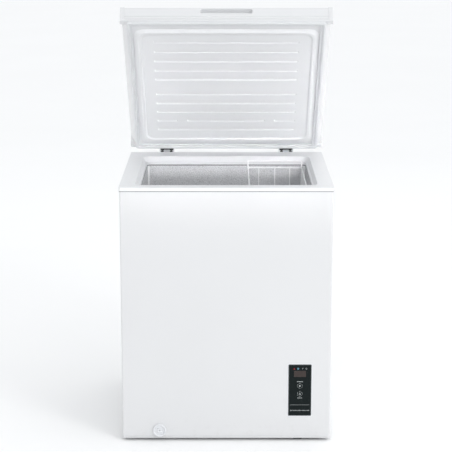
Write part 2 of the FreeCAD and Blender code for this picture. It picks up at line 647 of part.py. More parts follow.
# =========================================================================
# Drain plug and stopper
# =========================================================================
b = body("drain_plug")
s = sketch(b, "plug_profile", "XZ_Plane", off=(0, 0, 0))
R = num(drain_radius)
poly(s, [(0, -3.0), (1.6, -4.2), (3.2, -7.0), (6.6, -7.4), (7.4, -6.6), (7.6, -3.2), (14.5, -3.0), (16.4, -6.6), (17.4, -7.6), (R - 1.2, -7.6), (drain_radius, -6.4), (drain_radius, -0.4), (9.4, -0.4), (9.2, 0.0), (8.7, 0.6), (8.7, 22), (7.6, 24), (0, 24)])
revolve(b, s, "V_Axis")
b.Placement = Placement(Vector(num(drain_x), num(front_y + shell_inset), num(drain_z)), Rotation(Vector(1, 0, 0), -90))
bind(b, "Placement.Base.x", drain_x)
bind(b, "Placement.Base.y", front_y + shell_inset)
bind(b, "Placement.Base.z", drain_z)
keep(b)
b = body("drain_stopper")
s = sketch(b, "stopper_profile", "XZ_Plane", off=(0, 0, 0))
poly(s, [(0, -12), (6.6, -12), (7.4, 0.4), (12, 0.4), (12, 3), (4, 3.4), (4, 9), (5, 11), (4, 12.5), (0, 12.5)])
revolve(b, s, "V_Axis")
b.Placement = Placement(Vector(num(drain_x), num(front_y) + 90, num(liner_floor)), Rotation())
bind(b, "Placement.Base.x", drain_x)
bind(b, "Placement.Base.y", front_y + 90)
bind(b, "Placement.Base.z", liner_floor)
keep(b)

# =========================================================================
# Feet
# =========================================================================


def foot(name, x, y, top):
    t = body(name)
    u = sketch(t, name + "_low", off=(x, front_y + y, 0))
    rounded(u, 25, 25, 4)
    u2 = sketch(t, name + "_high", off=(x, front_y + y, 3))
    rounded(u2, 31, 31, 4)
    loft(t, u, [u2])
    u3 = sketch(t, name + "_block", off=(x, front_y + y, 3))
    rounded(u3, 31, 31, 4)
    pad(t, u3, top - 3)
    return keep(t)


foot("foot_front_right", 223, 31, shell_bottom - 2.5)
foot("foot_front_left", -223, 70, shell_bottom)
foot("foot_rear_right", 223, 575, shell_bottom - 2.5)
foot("foot_rear_left", -223, 575, shell_bottom)

# =========================================================================
# Hinges: bracket on the case, pin, cam and spring; leaf and buffer on the lid
# =========================================================================
hy = back_y + gauge
for side, sg in (("left", -1), ("right", 1)):
    hx = hinge_x * sg
    plate = box("bracket_back_" + side, hx - 24, hy, pivot_z - 120, 48, 2, 126)
    w_l = box("bracket_wall_l_" + side, hx - 20, hy, pivot_z - 100, 2, 28, 106)
    w_r = box("bracket_wall_r_" + side, hx + 18, hy, pivot_z - 100, 2, 28, 106)
    n_l = cyl("bracket_nose_l_" + side, hx - 20, pivot_y, pivot_z, 9, 2, "x")
    n_r = cyl("bracket_nose_r_" + side, hx + 18, pivot_y, pivot_z, 9, 2, "x")
    shelf = box("bracket_shelf_" + side, hx - 20, hy, pivot_z - 100, 40, 28, 2)
    hole = cyl("bracket_bore_" + side, hx - 30, pivot_y, pivot_z, pin_radius, 60, "x")
    plate_holes = [cyl("bracket_hole_%s_%d" % (side, i), hx + x, hy - 2, hinge_screw_z, 1.7, 8, "y") for i, x in enumerate((-10, 10))]
    keep(cut("hinge_bracket_" + side, fuse("bracket_solid_" + side, [plate, w_l, w_r, n_l, n_r, shelf]), [hole] + plate_holes))
    p1 = cyl("pin_shaft_" + side, hx - 27, pivot_y, pivot_z, pin_radius, 54, "x")
    p2 = cyl("pin_head_l_" + side, hx - 29, pivot_y, pivot_z, 5, 2, "x")
    p3 = cyl("pin_head_r_" + side, hx + 27, pivot_y, pivot_z, 5, 2, "x")
    keep(fuse("hinge_pin_" + side, [p1, p2, p3]))
    # nylon cam block between the walls, with the spring under it
    cam = box("cam_block_" + side, hx - 10, 624.5, pivot_z - 16, 20, 19, 40)
    camhole = cyl("cam_bore_" + side, hx - 12, pivot_y, pivot_z, pin_radius, 24, "x")
    keep(cut("hinge_cam_" + side, cam, [camhole]))
    hel = Part.makeHelix(12.5, 75, 7.5)
    spring_z = num(pivot_z) - 94.5
    hel.Placement = Placement(Vector(num(hx), FY + 632, spring_z), Rotation())
    hprof = Part.Wire([Part.makeCircle(1.4, Vector(num(hx) + 7.5, FY + 632, spring_z), Vector(0, 1, 0.27))])
    spring = doc.addObject("Part::Feature", "hinge_spring_" + side)
    spring.Shape = Part.Wire(hel.Edges).makePipeShell([hprof], True, True)
    keep(spring)
    keep(group("bracket_screws_" + side, [pan_head("bracket_screw_%s%d" % (side, i), num(hx) + x, num(hy) + 2, num(hinge_screw_z), "+y", 6, 3.2) for i, x in enumerate((-10, 10))]))
    # leaf: plate on the lid's rear wall and two ears down to the pin
    lp = box("leaf_plate_" + side, hx - 24, 620.3, pivot_z + 32, 48, 2, 46, True)
    t = body("leaf_ears_" + side)
    u = sketch(t, "leaf_ear_l_" + side, "YZ_Plane", off=(0, 0, hx - 24))
    ear = [(-15.7, 32), (-8.6, -5.0), (-5, -8.6), (0, -10), (5, -8.6), (8.6, -5), (10, 0), (8, 30), (0, 60), (-13.7, 74), (-15.7, 74)]
    poly(u, ear)
    pad(t, u, 2)
    tt = body("leaf_ear_right_" + side)
    u = sketch(tt, "leaf_ear_r_" + side, "YZ_Plane", off=(0, 0, hx + 22))
    poly(u, ear)
    pad(tt, u, 2)
    lh = cyl("leaf_bore_" + side, hx - 30, pivot_y, pivot_z, pin_radius + 0.06, 60, "x", True)
    keep(cut("hinge_leaf_" + side, fuse("leaf_solid_" + side, [lp, t, tt]), [lh]), True)
    keep(group("hinge_buffer_" + side, [box("buffer_block_" + side, hx - 21.5, 620.6, pivot_z + 27.5, 43, 7, 4.2, True)]), True)

# =========================================================================
# Lid, drawn closed about the pin
# =========================================================================
ly = -pivot_y
lz = lid_bottom - pivot_z
skin_y = ly + trim_depth
skin_len = lid_depth - trim_depth
hf = lid_flange / 2
hw = lid_width / 2
b = body("lid_skin_blank")
# section: flange edge, flared side, rounded shoulder
s = sketch(b, "skin_out", "XZ_Plane", off=(0, 0, -skin_y))
top = lz + lid_height


pts_o = [(hf, lz), (hf + 0.5, lz + 3), (hw - 1.5, lz + 36), (hw, lz + 43), (hw, top - 9), (hw - 1.4, top - 4.2), (hw - 4.6, top - 1.2), (hw - 9, top)]
poly(s, pts_o + [(-x, zz) for x, zz in reversed(pts_o)])
pad(b, s, skin_len, True)
s = sketch(b, "skin_in", "XZ_Plane", off=(0, 0, -skin_y))
g = lid_gauge
pts_i = [(hf - g - 1.5, lz), (hf - g - 1, lz + 3), (hw - 1.5 - g, lz + 37), (hw - g, lz + 43.5), (hw - g, top - 9), (hw - 1.4 - g, top - 4.8), (hw - 5 - g * 0.6, top - g - 0.9), (hw - 9, top - g)]
poly(s, pts_i + [(-x, zz) for x, zz in reversed(pts_i)])
pocket(b, s, skin_len - g)
s = sketch(b, "skin_open", "XY_Plane", off=(0, skin_y + (skin_len - g) / 2, lz))
rounded(s, (hf - g - 1.6) * 2, skin_len - g - 0.2, 3)
pocket(b, s, 8, True)
rear = skin_y + skin_len
shave = body("skin_rear_shave")
u = sketch(shave, "shave_profile", "YZ_Plane", off=(0, 0, -(hw + 5)))
poly(u, [(rear + 3, top + 3), (rear + 3, top - 4.5), (rear, top - 4.5), (rear - 0.4, top - 2.5), (rear - 1.3, top - 1.1), (rear - 2.6, top - 0.3), (rear - 4.5, top), (rear - 4.5, top + 3)])
pad(shave, u, lid_width + 10)
# folded tabs that close the flare at the two hinge-side corners
tabs = []
for side, sg in (("left", -1), ("right", 1)):
    t = body("skin_tab_" + side)
    u = sketch(t, "skin_tab_profile_" + side, "XZ_Plane", off=(0, 0, -(rear - 13.5)))
    tab_pts = [(hf - 0.3, lz + 0.2), (hw - 3, lz + 0.2), (hw - 0.9, lz + 2.4), (hw - 0.2, lz + 6), (hw - 0.2, lz + 43), (hw - 1.9, lz + 36.2), (hf, lz + 3.2)]
    poly(u, [(sg * x, z) for x, z in tab_pts])
    pad(t, u, 12.9, True)
    tabs.append(t)
keep(cut("lid_outer_skin", fuse("skin_with_tabs", [b] + tabs), [shave]), True)

# Lid liner: flange, raised ridge, sunk panel and its pressed grooves.
b = body("lid_liner_blank")
lin_y0, lin_y1 = trim_depth + 0.1, lid_depth - 1.7


def lrect(nm, x, y0, y1, zz, r, t=b):
    u = sketch(t, nm, off=(0, ly + (y0 + y1) / 2, lz + zz))
    rounded(u, x * 2, y1 - y0, r)
    return u


s = lrect("liner_plate", hf - 3.2, lin_y0, lin_y1, 0, 3)
pad(b, s, 2)
s = lrect("ridge_base", 292, 38, 600, 0, 34)
s2 = lrect("ridge_crest", 279, 46, 575, -8, 30)
loft(b, s, [s2])
s = lrect("well_low", 272, 53, 569, -8.01, 27)
s2 = lrect("well_high", 267, 61, 565, -4, 24)
loft(b, s, [s2], True)
s = lrect("panel_back", 262, 66, 560, -2, 20)
pocket(b, s, 8, True)
doc.recompute()
grooves = []
G = [(94, -230, 230), (138, -230, 230), (182, -230, 230), (225.5, -230, 230), (268, -230, 230), (340.5, -230, 230), (385.4, -230, 230), (429, -230, 230),
     (473.6, -230, -162.6), (473.6, -130.4, 129.2), (473.6, 159.5, 230), (520, -230, 230)]
for i, (gy, x0, x1) in enumerate(G):
    t = body("groove%d" % i)
    u = sketch(t, "groove_mouth%d" % i, off=((x0 + x1) / 2.0, ly + gy, lz - 4.01))
    rounded(u, x1 - x0, 9, 4)
    u2 = sketch(t, "groove_floor%d" % i, off=((x0 + x1) / 2.0, ly + gy, lz - 2.6))
    rounded(u2, x1 - x0 - 3, 6, 2.6)
    loft(t, u, [u2])
    grooves.append(t)
keep(cut("lid_inner_liner", b, grooves), True)

# Gasket: flat magnetic bellows ring in the flange's channel.
b = body("lid_gasket")
s = lrect("gasket_low", 309.6, 3.2, 617.5, -9.7, 8, b)
s2 = lrect("gasket_high", 310.6, 2.2, 618.5, -0.1, 8, b)
loft(b, s, [s2])
s = lrect("gasket_eye", 292.4, 26.5, 600.4, -12, 10, b)
pocket(b, s, 20, True)
keep(b, True)

# Front trim: extruded strip with a long finger recess, and two end caps.
b = body("trim_blank")
th = hw - cap_width + 3
s = sketch(b, "trim_profile", "YZ_Plane", off=(0, 0, -th))
f = ly
poly(s, [(f, lz + 2), (f + 2, lz), (f + trim_depth, lz), (f + trim_depth, top), (f + 9, top), (f + 4.6, top - 1.4), (f + 1.6, top - 4.4), (f + 0.2, top - 9), (f, top - 14),
         (f, lz + 18), (f + 0.9, lz + 17.2), (f + 0.9, lz + 16), (f, lz + 15.2), (f, lz + 10.6), (f + 0.9, lz + 9.8), (f + 0.9, lz + 8.8), (f, lz + 8), (f, lz + 5), (f + 0.7, lz + 4.4), (f + 0.7, lz + 3.6), (f, lz + 3)])
pad(b, s, th * 2)
grip = body("grip_form")
s = sketch(grip, "grip_mouth", "XZ_Plane", off=(0, lz + 39.5, -(ly - 1)))
rounded(s, 163, 20, 6)
s2 = sketch(grip, "grip_bottom", "XZ_Plane", off=(0, lz + 40.5, -(ly + 13)))
rounded(s2, 155, 14, 5)
loft(grip, s, [s2])
keep(cut("lid_front_trim", b, [grip]), True)
for side, sg in (("left", -1), ("right", 1)):
    b = body("cap_body_" + side)
    x0 = th + 0.15 if sg > 0 else -(th + 0.15) - cap_width
    s = sketch(b, "cap_profile_" + side, "YZ_Plane", off=(0, 0, x0))
    poly(s, [(f - 0.8, lz + 4), (f + 1.5, lz), (f + 17, lz), (f + 17.9, lz + 1), (f + 17.9, top + 1.0), (f + 16, top + 2), (f + 9, top + 2), (f + 4, top + 0.6), (f + 0.6, top - 3), (f - 0.6, top - 8)])
    pad(b, s, cap_width)
    keep(b, True).Label = "lid_end_cap_" + side

# Foam in the lid.
b = body("lid_foam_blank")
s = sketch(b, "lid_foam_section", "XZ_Plane", off=(0, 0, -(skin_y + 0.2)))
g2 = lid_gauge + 0.2
pts_f = [(hf - g2 - 2.2, lz + 2.1), (hf - g2 - 1.6, lz + 3.4), (hw - 2.2 - g2, lz + 37), (hw - 0.7 - g2, lz + 43.5), (hw - 0.7 - g2, top - 9.5), (hw - 2.6 - g2, top - 5.6), (hw - 6.2 - g2, top - g2 - 1.4), (hw - 10, top - g2)]
poly(s, pts_f + [(-x, zz) for x, zz in reversed(pts_f)])
pad(b, s, skin_len - lid_gauge - 0.5, True)
keep(b, True).Label = "lid_foam"

# =========================================================================
# Wire basket on the ledges, at the right of the opening
# =========================================================================
bx0, bx1 = 72.0, 252.0
by0, by1 = FY + 60.0, FY + 513.0
bt = num(rim_top) - 35.0
bb = bt - 172.0
mid_z = bt - 85.0
ledge_z = num(rim_top - slope_drop)
hang_z = ledge_z + 2.4
r1, r2 = 2.0, 1.5
wires = []
lo = 8.0  # the walls lean in towards the bottom
# top ring
wires.append(("ring", [(bx0, by0, bt), (bx1, by0, bt), (bx1, by1, bt), (bx0, by1, bt)], r1))
ro = lo / 2 - 1.3  # the middle ring sits outside the wall wires
wires.append(("ring", [(bx0 + ro, by0 + ro, mid_z), (bx1 - ro, by0 + ro, mid_z), (bx1 - ro, by1 - ro, mid_z), (bx0 + ro, by1 - ro, mid_z)], r2 + 0.1))
solids = []


def ring_shape(c, r, bend):
    (xa, ya, z0), (xb, _, _), (_, yb, _), _ = c
    mid = ((xa + xb) / 2, ya, z0)
    p = [mid, (xb, ya, z0), (xb, yb, z0), (xa, yb, z0), (xa, ya, z0), mid]
    w = route(p, bend)
    prof = Part.Wire([Part.makeCircle(r, Vector(*mid), Vector(1, 0, 0))])
    return w.makePipeShell([prof], True, True)


for kind, c, r in wires:
    solids.append(ring_shape(c, r, 10))
# long wires: down the front wall, along the bottom, up the rear wall
for x in (108.0, 162.0, 212.0):
    solids.append(bar_shape([(x, by0 + 1.0, bt + 1), (x, by0 + lo, bb), (x, by1 - lo, bb), (x, by1 - 1.0, bt + 1)], r2, 9))
# cross wires: down the left wall, along the bottom, up the right wall
n = 8
for i in range(n):
    y = by0 + 26 + (by1 - by0 - 52) * i / (n - 1)
    solids.append(bar_shape([(bx0 + 1.0, y, bt + 1), (bx0 + lo, y, bb + 2.2), (bx1 - lo, y, bb + 2.2), (bx1 - 1.0, y, bt + 1)], r2, 9))
# hangers: the two end wires run out over the ledges at front and back
for x in (bx0, bx1):
    for y, sgn in ((by0, -1), (by1, 1)):
        solids.append(bar_shape([(x, y - sgn * 30, bt), (x, y + sgn * 3.0, bt), (x, y + sgn * 3.0, hang_z), (x, y + sgn * 9.0, hang_z)], r1 + 0.35, 4))
for yy in (by0 - 9.0, by1 + 9.0):
    solids.append(Part.makeCylinder(r1, bx1 - bx0 + 5, Vector(bx0 - 2.5, yy, hang_z), Vector(1, 0, 0)))
basket_shape = solids[0]
for extra in solids[1:]:
    basket_shape = basket_shape.fuse(extra)
    if not basket_shape.isValid():
        print("basket step invalid", solids.index(extra))
print("basket", len(basket_shape.Solids), basket_shape.isValid(), basket_shape.Volume)
basket = doc.addObject("Part::Feature", "wire_basket")
basket.Shape = basket_shape
keep(basket)

# =========================================================================
# Check and write
# =========================================================================
doc.recompute()
problems = []
for o in doc.Objects:
    if "Invalid" in o.State or "Error" in o.State:
        problems.append("%s (%s): %s" % (o.Name, o.Label, o.State))
for o in nodes:
    if o.Shape.isNull() or not o.Shape.isValid() or not o.Shape.Solids:
        problems.append("%s has no valid solid" % o.Label)
labels = [o.Label for o in nodes]
if len(set(labels)) != len(labels):
    problems.append("two nodes share a label")
if problems:
    raise RuntimeError("\n".join(problems))
os.makedirs("parts", exist_ok=True)
for old in os.listdir("parts"):
    if old.endswith(".step"):
        os.remove(os.path.join("parts", old))
lo_c, hi_c = [1e9] * 3, [-1e9] * 3
for o in nodes:
    o.Shape.exportStep("parts/%s.step" % o.Label)
    bb_ = o.Shape.BoundBox
    for i, (a, c) in enumerate(((bb_.XMin, bb_.XMax), (bb_.YMin, bb_.YMax), (bb_.ZMin, bb_.ZMax))):
        lo_c[i], hi_c[i] = min(lo_c[i], a), max(hi_c[i], c)
    print("%-26s solids %2d  volume %10.0f  x %7.1f %7.1f  y %7.1f %7.1f  z %7.1f %7.1f" % (o.Label, len(o.Shape.Solids), o.Shape.Volume, bb_.XMin, bb_.XMax, bb_.YMin, bb_.YMax, bb_.ZMin, bb_.ZMax))
print("nodes", len(nodes), "box", [round(v, 1) for v in lo_c], [round(v, 1) for v in hi_c])
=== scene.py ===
import json
import math

import bmesh
import bpy
from mathutils import Matrix, Vector

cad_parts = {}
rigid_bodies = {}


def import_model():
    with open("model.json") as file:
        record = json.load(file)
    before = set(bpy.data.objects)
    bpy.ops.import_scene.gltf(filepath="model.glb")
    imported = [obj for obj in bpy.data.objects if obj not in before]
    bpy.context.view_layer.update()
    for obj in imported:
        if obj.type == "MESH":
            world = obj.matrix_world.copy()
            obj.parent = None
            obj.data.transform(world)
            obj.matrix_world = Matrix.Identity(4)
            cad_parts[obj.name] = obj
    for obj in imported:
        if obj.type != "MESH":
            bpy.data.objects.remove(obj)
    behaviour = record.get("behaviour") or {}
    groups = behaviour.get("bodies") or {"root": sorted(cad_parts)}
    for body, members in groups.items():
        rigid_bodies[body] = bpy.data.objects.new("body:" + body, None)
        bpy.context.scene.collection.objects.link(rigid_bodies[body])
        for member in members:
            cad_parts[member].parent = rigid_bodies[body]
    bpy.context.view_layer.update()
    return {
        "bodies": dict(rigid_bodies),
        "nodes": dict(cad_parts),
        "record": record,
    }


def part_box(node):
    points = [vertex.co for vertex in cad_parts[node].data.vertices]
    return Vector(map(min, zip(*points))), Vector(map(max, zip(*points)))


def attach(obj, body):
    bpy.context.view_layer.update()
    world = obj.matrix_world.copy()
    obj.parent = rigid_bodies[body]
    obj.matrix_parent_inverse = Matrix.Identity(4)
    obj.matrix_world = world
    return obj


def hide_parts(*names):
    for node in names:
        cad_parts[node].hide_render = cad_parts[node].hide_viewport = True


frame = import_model()
NODES = frame["nodes"]
BODIES = frame["bodies"]
SLOT_OF = {p["node"]: p["material_slot"] for p in frame["record"]["subparts"]}
scene = bpy.context.scene


# ---------------------------------------------------------------- materials
class Shade:
    """A small writer for node materials. Coordinates are the object's own, in metres."""

    def __init__(self, name):
        self.m = bpy.data.materials.new(name)
        self.m.use_nodes = True
        self.t = self.m.node_tree
        self.t.nodes.clear()
        self.out = self.n("ShaderNodeOutputMaterial")
        self.bsdf = self.n("ShaderNodeBsdfPrincipled")
        self.t.links.new(self.bsdf.outputs[0], self.out.inputs[0])
        self.co = self.n("ShaderNodeTexCoord").outputs["Object"]

    def n(self, kind, **kw):
        node = self.t.nodes.new(kind)
        for k, v in kw.items():
            setattr(node, k, v)
        return node

    def link(self, a, b):
        self.t.links.new(a, b)

    def put(self, socket, value):
        """Links an output, or sets a plain number or colour."""
        if isinstance(value, bpy.types.NodeSocket):
            self.link(value, socket)
        else:
            socket.default_value = value

    def stretch(self, x, y, z):
        node = self.n("ShaderNodeMapping")
        self.link(self.co, node.inputs["Vector"])
        node.inputs["Scale"].default_value = (x, y, z)
        return node.outputs[0]

    def noise(self, scale, detail=3.0, rough=0.55, co=None):
        node = self.n("ShaderNodeTexNoise")
        self.link(co or self.co, node.inputs["Vector"])
        node.inputs["Scale"].default_value = scale
        node.inputs["Detail"].default_value = detail
        node.inputs["Roughness"].default_value = rough
        return node.outputs["Fac"]

    def cells(self, scale, feature="F1", co=None, out="Distance"):
        node = self.n("ShaderNodeTexVoronoi", feature=feature)
        self.link(co or self.co, node.inputs["Vector"])
        node.inputs["Scale"].default_value = scale
        return node.outputs[out]

    def ramp(self, value, lo, hi, a=0.0, b=1.0):
        node = self.n("ShaderNodeMapRange")
        node.clamp = True
        self.link(value, node.inputs["Value"])
        for k, v in (("From Min", lo), ("From Max", hi), ("To Min", a), ("To Max", b)):
            node.inputs[k].default_value = v
        return node.outputs["Result"]

    def math(self, op, a, b=0.0):
        node = self.n("ShaderNodeMath", operation=op)
        self.put(node.inputs[0], a)
        self.put(node.inputs[1], b)
        return node.outputs[0]

    def mix(self, fac, a, b):
        node = self.n("ShaderNodeMix", data_type="RGBA")
        self.put(node.inputs[0], fac)
        self.put(node.inputs[6], a if isinstance(a, bpy.types.NodeSocket) else (*a, 1.0))
        self.put(node.inputs[7], b if isinstance(b, bpy.types.NodeSocket) else (*b, 1.0))
        return node.outputs[2]

    def height(self):
        """Height above the floor, in metres, from the object's own coordinates."""
        node = self.n("ShaderNodeSeparateXYZ")
        self.link(self.co, node.inputs[0])
        return node.outputs["Z"]

    def bump(self, value, distance, strength=1.0, under=None):
        node = self.n("ShaderNodeBump")
        node.inputs["Strength"].default_value = strength
        node.inputs["Distance"].default_value = distance
        self.link(value, node.inputs["Height"])
        if under is not None:
            self.link(under, node.inputs["Normal"])
        return node.outputs["Normal"]

    def soft_edge(self, radius):
        node = self.n("ShaderNodeBevel", samples=4)
        node.inputs["Radius"].default_value = radius
        return node.outputs["Normal"]

    def painted_crevice_shade(self, colour, depth, reach=0.0050):
        """Painted shade: the colour darkens in inner corners and gaps, by the object's own ambient occlusion."""
        ao = self.n("ShaderNodeAmbientOcclusion", samples=8, only_local=True)
        ao.inputs["Distance"].default_value = reach
        return self.mix(self.ramp(ao.outputs["AO"], 0.25, 0.95, depth, 0.0), colour, (0.30, 0.31, 0.33))

    def finish(self, colour, rough, metal=0.0, normal=None, **sockets):
        self.put(self.bsdf.inputs["Base Color"], colour if isinstance(colour, bpy.types.NodeSocket) else (*colour, 1.0))
        self.put(self.bsdf.inputs["Roughness"], rough)
        self.bsdf.inputs["Metallic"].default_value = metal
        if normal is not None:
            self.link(normal, self.bsdf.inputs["Normal"])
        for k, v in sockets.items():
            self.bsdf.inputs[k.replace("_", " ")].default_value = v
        return self.m


def tone(c, k):
    return tuple(min(1.0, x * k) for x in c)


def painted(name, base, rough=0.32, peel=0.00004, edge=0.0008, coat=0.25, scuff=True):
    """Powder-coated sheet: orange peel, faint cloudiness, dust and scuffs low down."""
    s = Shade(name)
    cloud = s.ramp(s.noise(3.0, 2.0), 0.35, 0.65)
    grain = s.ramp(s.noise(160.0, 3.0), 0.3, 0.7)
    colour = s.mix(cloud, tone(base, 0.985), base)
    colour = s.mix(s.math("MULTIPLY", grain, 0.25), colour, tone(base, 0.985))
    r = s.math("ADD", s.ramp(s.noise(22.0, 4.0), 0.3, 0.7, rough - 0.04, rough + 0.05), s.math("MULTIPLY", grain, 0.03))
    if scuff:
        low = s.ramp(s.height(), 0.015, 0.09, 1.0, 0.0)
        spots = s.ramp(s.noise(55.0, 6.0, 0.7), 0.52, 0.74)
        dust = s.math("MULTIPLY", s.math("MULTIPLY", low, spots), 0.22)
        colour = s.mix(dust, colour, (0.50, 0.49, 0.47))
        r = s.math("ADD", r, s.math("MULTIPLY", dust, 0.6))
    n = s.soft_edge(edge)
    n = s.bump(s.noise(260.0, 2.0, 0.4), peel, 0.35, n)
    n = s.bump(s.noise(1.6, 1.0), 0.002, 0.05, n)
    return s.finish(colour, r, 0.0, n, Coat_Weight=coat, Coat_Roughness=0.12)


def moulded(name, base, rough=0.38, grain=0.00003, edge=0.0006, size=900.0, sub=0.0, vary=0.02, coat=0.0, painted_shade_amount=0.0):
    """Injection-moulded plastic: spark-eroded grain, flow marks, rubbed high spots."""
    s = Shade(name)
    flow = s.ramp(s.noise(5.0, 3.0, 0.6, s.stretch(1.0, 2.4, 0.7)), 0.35, 0.65)
    fine = s.noise(size, 2.0, 0.6)
    wipe = s.ramp(s.noise(38.0, 5.0, 0.65), 0.45, 0.72)
    colour = s.mix(flow, tone(base, 1.0 - vary), base)
    colour = s.mix(s.math("MULTIPLY", wipe, 0.10), colour, tone(base, 0.93))
    # Painted shade: the colour darkens in the object's own inner corners and gaps.
    if painted_shade_amount:
        colour = s.painted_crevice_shade(colour, painted_shade_amount)
    r = s.math("ADD", s.ramp(flow, 0.0, 1.0, rough - 0.03, rough + 0.03), s.math("MULTIPLY", wipe, -0.05))
    n = s.bump(fine, grain, 0.5, s.soft_edge(edge))
    return s.finish(colour, r, 0.0, n, Subsurface_Weight=sub, Subsurface_Scale=0.002, Coat_Weight=coat, Coat_Roughness=0.1)


def stucco(name, base):
    """Stucco-embossed aluminium sheet: hammered pebbles about 3 mm across, with painted highlights on their tops and
    painted shade in the creases between them.
    """
    s = Shade(name)
    warp = s.n("ShaderNodeVectorMath", operation="ADD")
    wob = s.n("ShaderNodeTexNoise")
    s.link(s.co, wob.inputs["Vector"])
    wob.inputs["Scale"].default_value = 170.0
    sc = s.n("ShaderNodeVectorMath", operation="SCALE")
    s.link(wob.outputs["Color"], sc.inputs[0])
    sc.inputs["Scale"].default_value = 0.004
    s.link(s.co, warp.inputs[0])
    s.link(sc.outputs[0], warp.inputs[1])
    pebble = s.cells(230.0, "SMOOTH_F1", warp.outputs[0])
    creases = s.cells(230.0, "DISTANCE_TO_EDGE", warp.outputs[0])
    roll = s.ramp(s.noise(4.0, 3.0, 0.6, s.stretch(1.0, 1.0, 0.25)), 0.3, 0.7)
    colour = s.mix(roll, tone(base, 0.90), tone(base, 1.04))
    # Painted shade in the creases between pebbles, then painted highlights on the pebble tops.
    colour = s.mix(s.ramp(creases, 0.0, 0.12, 0.75, 0.0), colour, tone(base, 0.58))
    colour = s.mix(s.ramp(pebble, 0.0, 0.25, 0.60, 0.0), colour, tone(base, 1.45))
    r = s.math("ADD", s.ramp(s.noise(60.0, 4.0), 0.3, 0.7, 0.34, 0.48), s.ramp(creases, 0.0, 0.1, 0.12, 0.0))
    n = s.bump(s.ramp(pebble, 0.0, 0.7, 1.0, 0.0), 0.0007, 0.75, s.soft_edge(0.0015))
    return s.finish(colour, r, 0.40, n)


def sheet_metal(name, base, rough=0.38, spangle=True, metal=0.85, size=70.0):
    """Zinc-plated or galvanised steel: spangle, fine rolling lines, dull patches."""
    s = Shade(name)
    tint = s.cells(size, "F1", None, "Color")
    bw = s.n("ShaderNodeRGBToBW")
    s.link(tint, bw.inputs[0])
    lines = s.noise(120.0, 4.0, 0.7, s.stretch(1.0, 6.0, 0.12))
    dull = s.ramp(s.noise(18.0, 5.0, 0.65), 0.5, 0.75)
    colour = s.mix(s.ramp(bw.outputs[0], 0.2, 0.8, 0.0, 1.0 if spangle else 0.25), tone(base, 0.88), tone(base, 1.06))
    colour = s.mix(s.math("MULTIPLY", dull, 0.35), colour, tone(base, 0.70))
    r = s.math("ADD", s.ramp(lines, 0.3, 0.7, rough - 0.08, rough + 0.08), s.math("MULTIPLY", dull, 0.12))
    n = s.bump(lines, 0.00004, 0.35, s.soft_edge(0.0004))
    return s.finish(colour, r, metal, n)


def tube_metal(name, base, rough=0.3, tarnish=(0.3, 0.2, 0.15), amount=0.35):
    """Drawn tube: lengthwise die lines and tarnish."""
    s = Shade(name)
    lines = s.noise(420.0, 3.0, 0.6)
    patch = s.ramp(s.noise(40.0, 5.0, 0.7), 0.45, 0.75)
    colour = s.mix(s.math("MULTIPLY", patch, amount), base, tarnish)
    r = s.math("ADD", s.ramp(lines, 0.3, 0.7, rough - 0.05, rough + 0.08), s.math("MULTIPLY", patch, 0.2))
    return s.finish(colour, r, 1.0, s.bump(lines, 0.00003, 0.4))


def rubber(name, base, rough=0.62, grain=0.00006, sheen=0.15):
    """Soft vinyl or rubber: talc bloom, extrusion lines, faint handling marks."""
    s = Shade(name)
    bloom = s.ramp(s.noise(32.0, 6.0, 0.7), 0.42, 0.72)
    fine = s.noise(700.0, 3.0, 0.6)
    colour = s.mix(s.math("MULTIPLY", bloom, 0.35), base, tone(base, 0.90))
    r = s.ramp(bloom, 0.0, 1.0, rough - 0.06, rough + 0.08)
    return s.finish(colour, r, 0.0, s.bump(fine, grain, 0.5), Sheen_Weight=sheen, Sheen_Roughness=0.5)


def gloss_black(name, base, rough=0.1):
    """Printed acrylic overlay: deep gloss with light dust, hairline wipe marks and a soft ripple."""
    s = Shade(name)
    dust = s.ramp(s.cells(900.0), 0.0, 0.10, 1.0, 0.0)
    smear = s.ramp(s.noise(60.0, 5.0, 0.7, s.stretch(1.0, 1.0, 0.35)), 0.48, 0.75)
    colour = s.mix(s.math("MULTIPLY", dust, 0.05), base, (0.3, 0.3, 0.3))
    colour = s.mix(s.math("MULTIPLY", smear, 0.18), colour, tone(base, 1.35))
    r = s.math("ADD", s.ramp(smear, 0.0, 1.0, rough, rough + 0.14), s.math("MULTIPLY", dust, 0.25))
    return s.finish(colour, r, 0.0, s.bump(s.noise(45.0, 1.0), 0.00015, 0.12), Specular_IOR_Level=0.11, Coat_Weight=0.03, Coat_Roughness=0.08)


def printed(name, base, glow=0.0):
    """Screen-printed ink: halftone mottling and a slightly raised, satin film."""
    s = Shade(name)
    mottle = s.noise(1800.0, 2.0, 0.6)
    colour = s.mix(s.ramp(mottle, 0.35, 0.65, 0.0, 1.0), tone(base, 0.86), base)
    m = s.finish(colour, s.ramp(mottle, 0.3, 0.7, 0.38, 0.5), 0.0, s.bump(mottle, 0.00002, 0.4))
    if glow:
        s.link(colour, s.bsdf.inputs["Emission Color"])
        s.bsdf.inputs["Emission Strength"].default_value = glow
    return m


def foamed(name, base):
    """Rigid polyurethane foam: closed cells with skinned edges."""
    s = Shade(name)
    big, small = s.cells(380.0), s.cells(1100.0)
    colour = s.mix(s.ramp(s.noise(9.0, 4.0), 0.35, 0.65), tone(base, 0.9), base)
    colour = s.mix(s.ramp(small, 0.0, 0.3, 0.35, 0.0), colour, tone(base, 0.75))
    return s.finish(colour, s.ramp(big, 0.0, 0.6, 0.95, 0.8), 0.0, s.bump(big, 0.0006, 0.7))


def dipped(name, base):
    """Vinyl-dipped wire: thick glossy coat that pools at the welds."""
    s = Shade(name)
    pool = s.noise(70.0, 3.0, 0.5)
    colour = s.mix(s.ramp(pool, 0.4, 0.65), tone(base, 0.96), base)
    n = s.bump(pool, 0.0006, 0.35)
    return s.finish(colour, s.ramp(s.noise(260.0, 3.0), 0.3, 0.7, 0.24, 0.36), 0.0, n, Coat_Weight=0.35, Coat_Roughness=0.1)


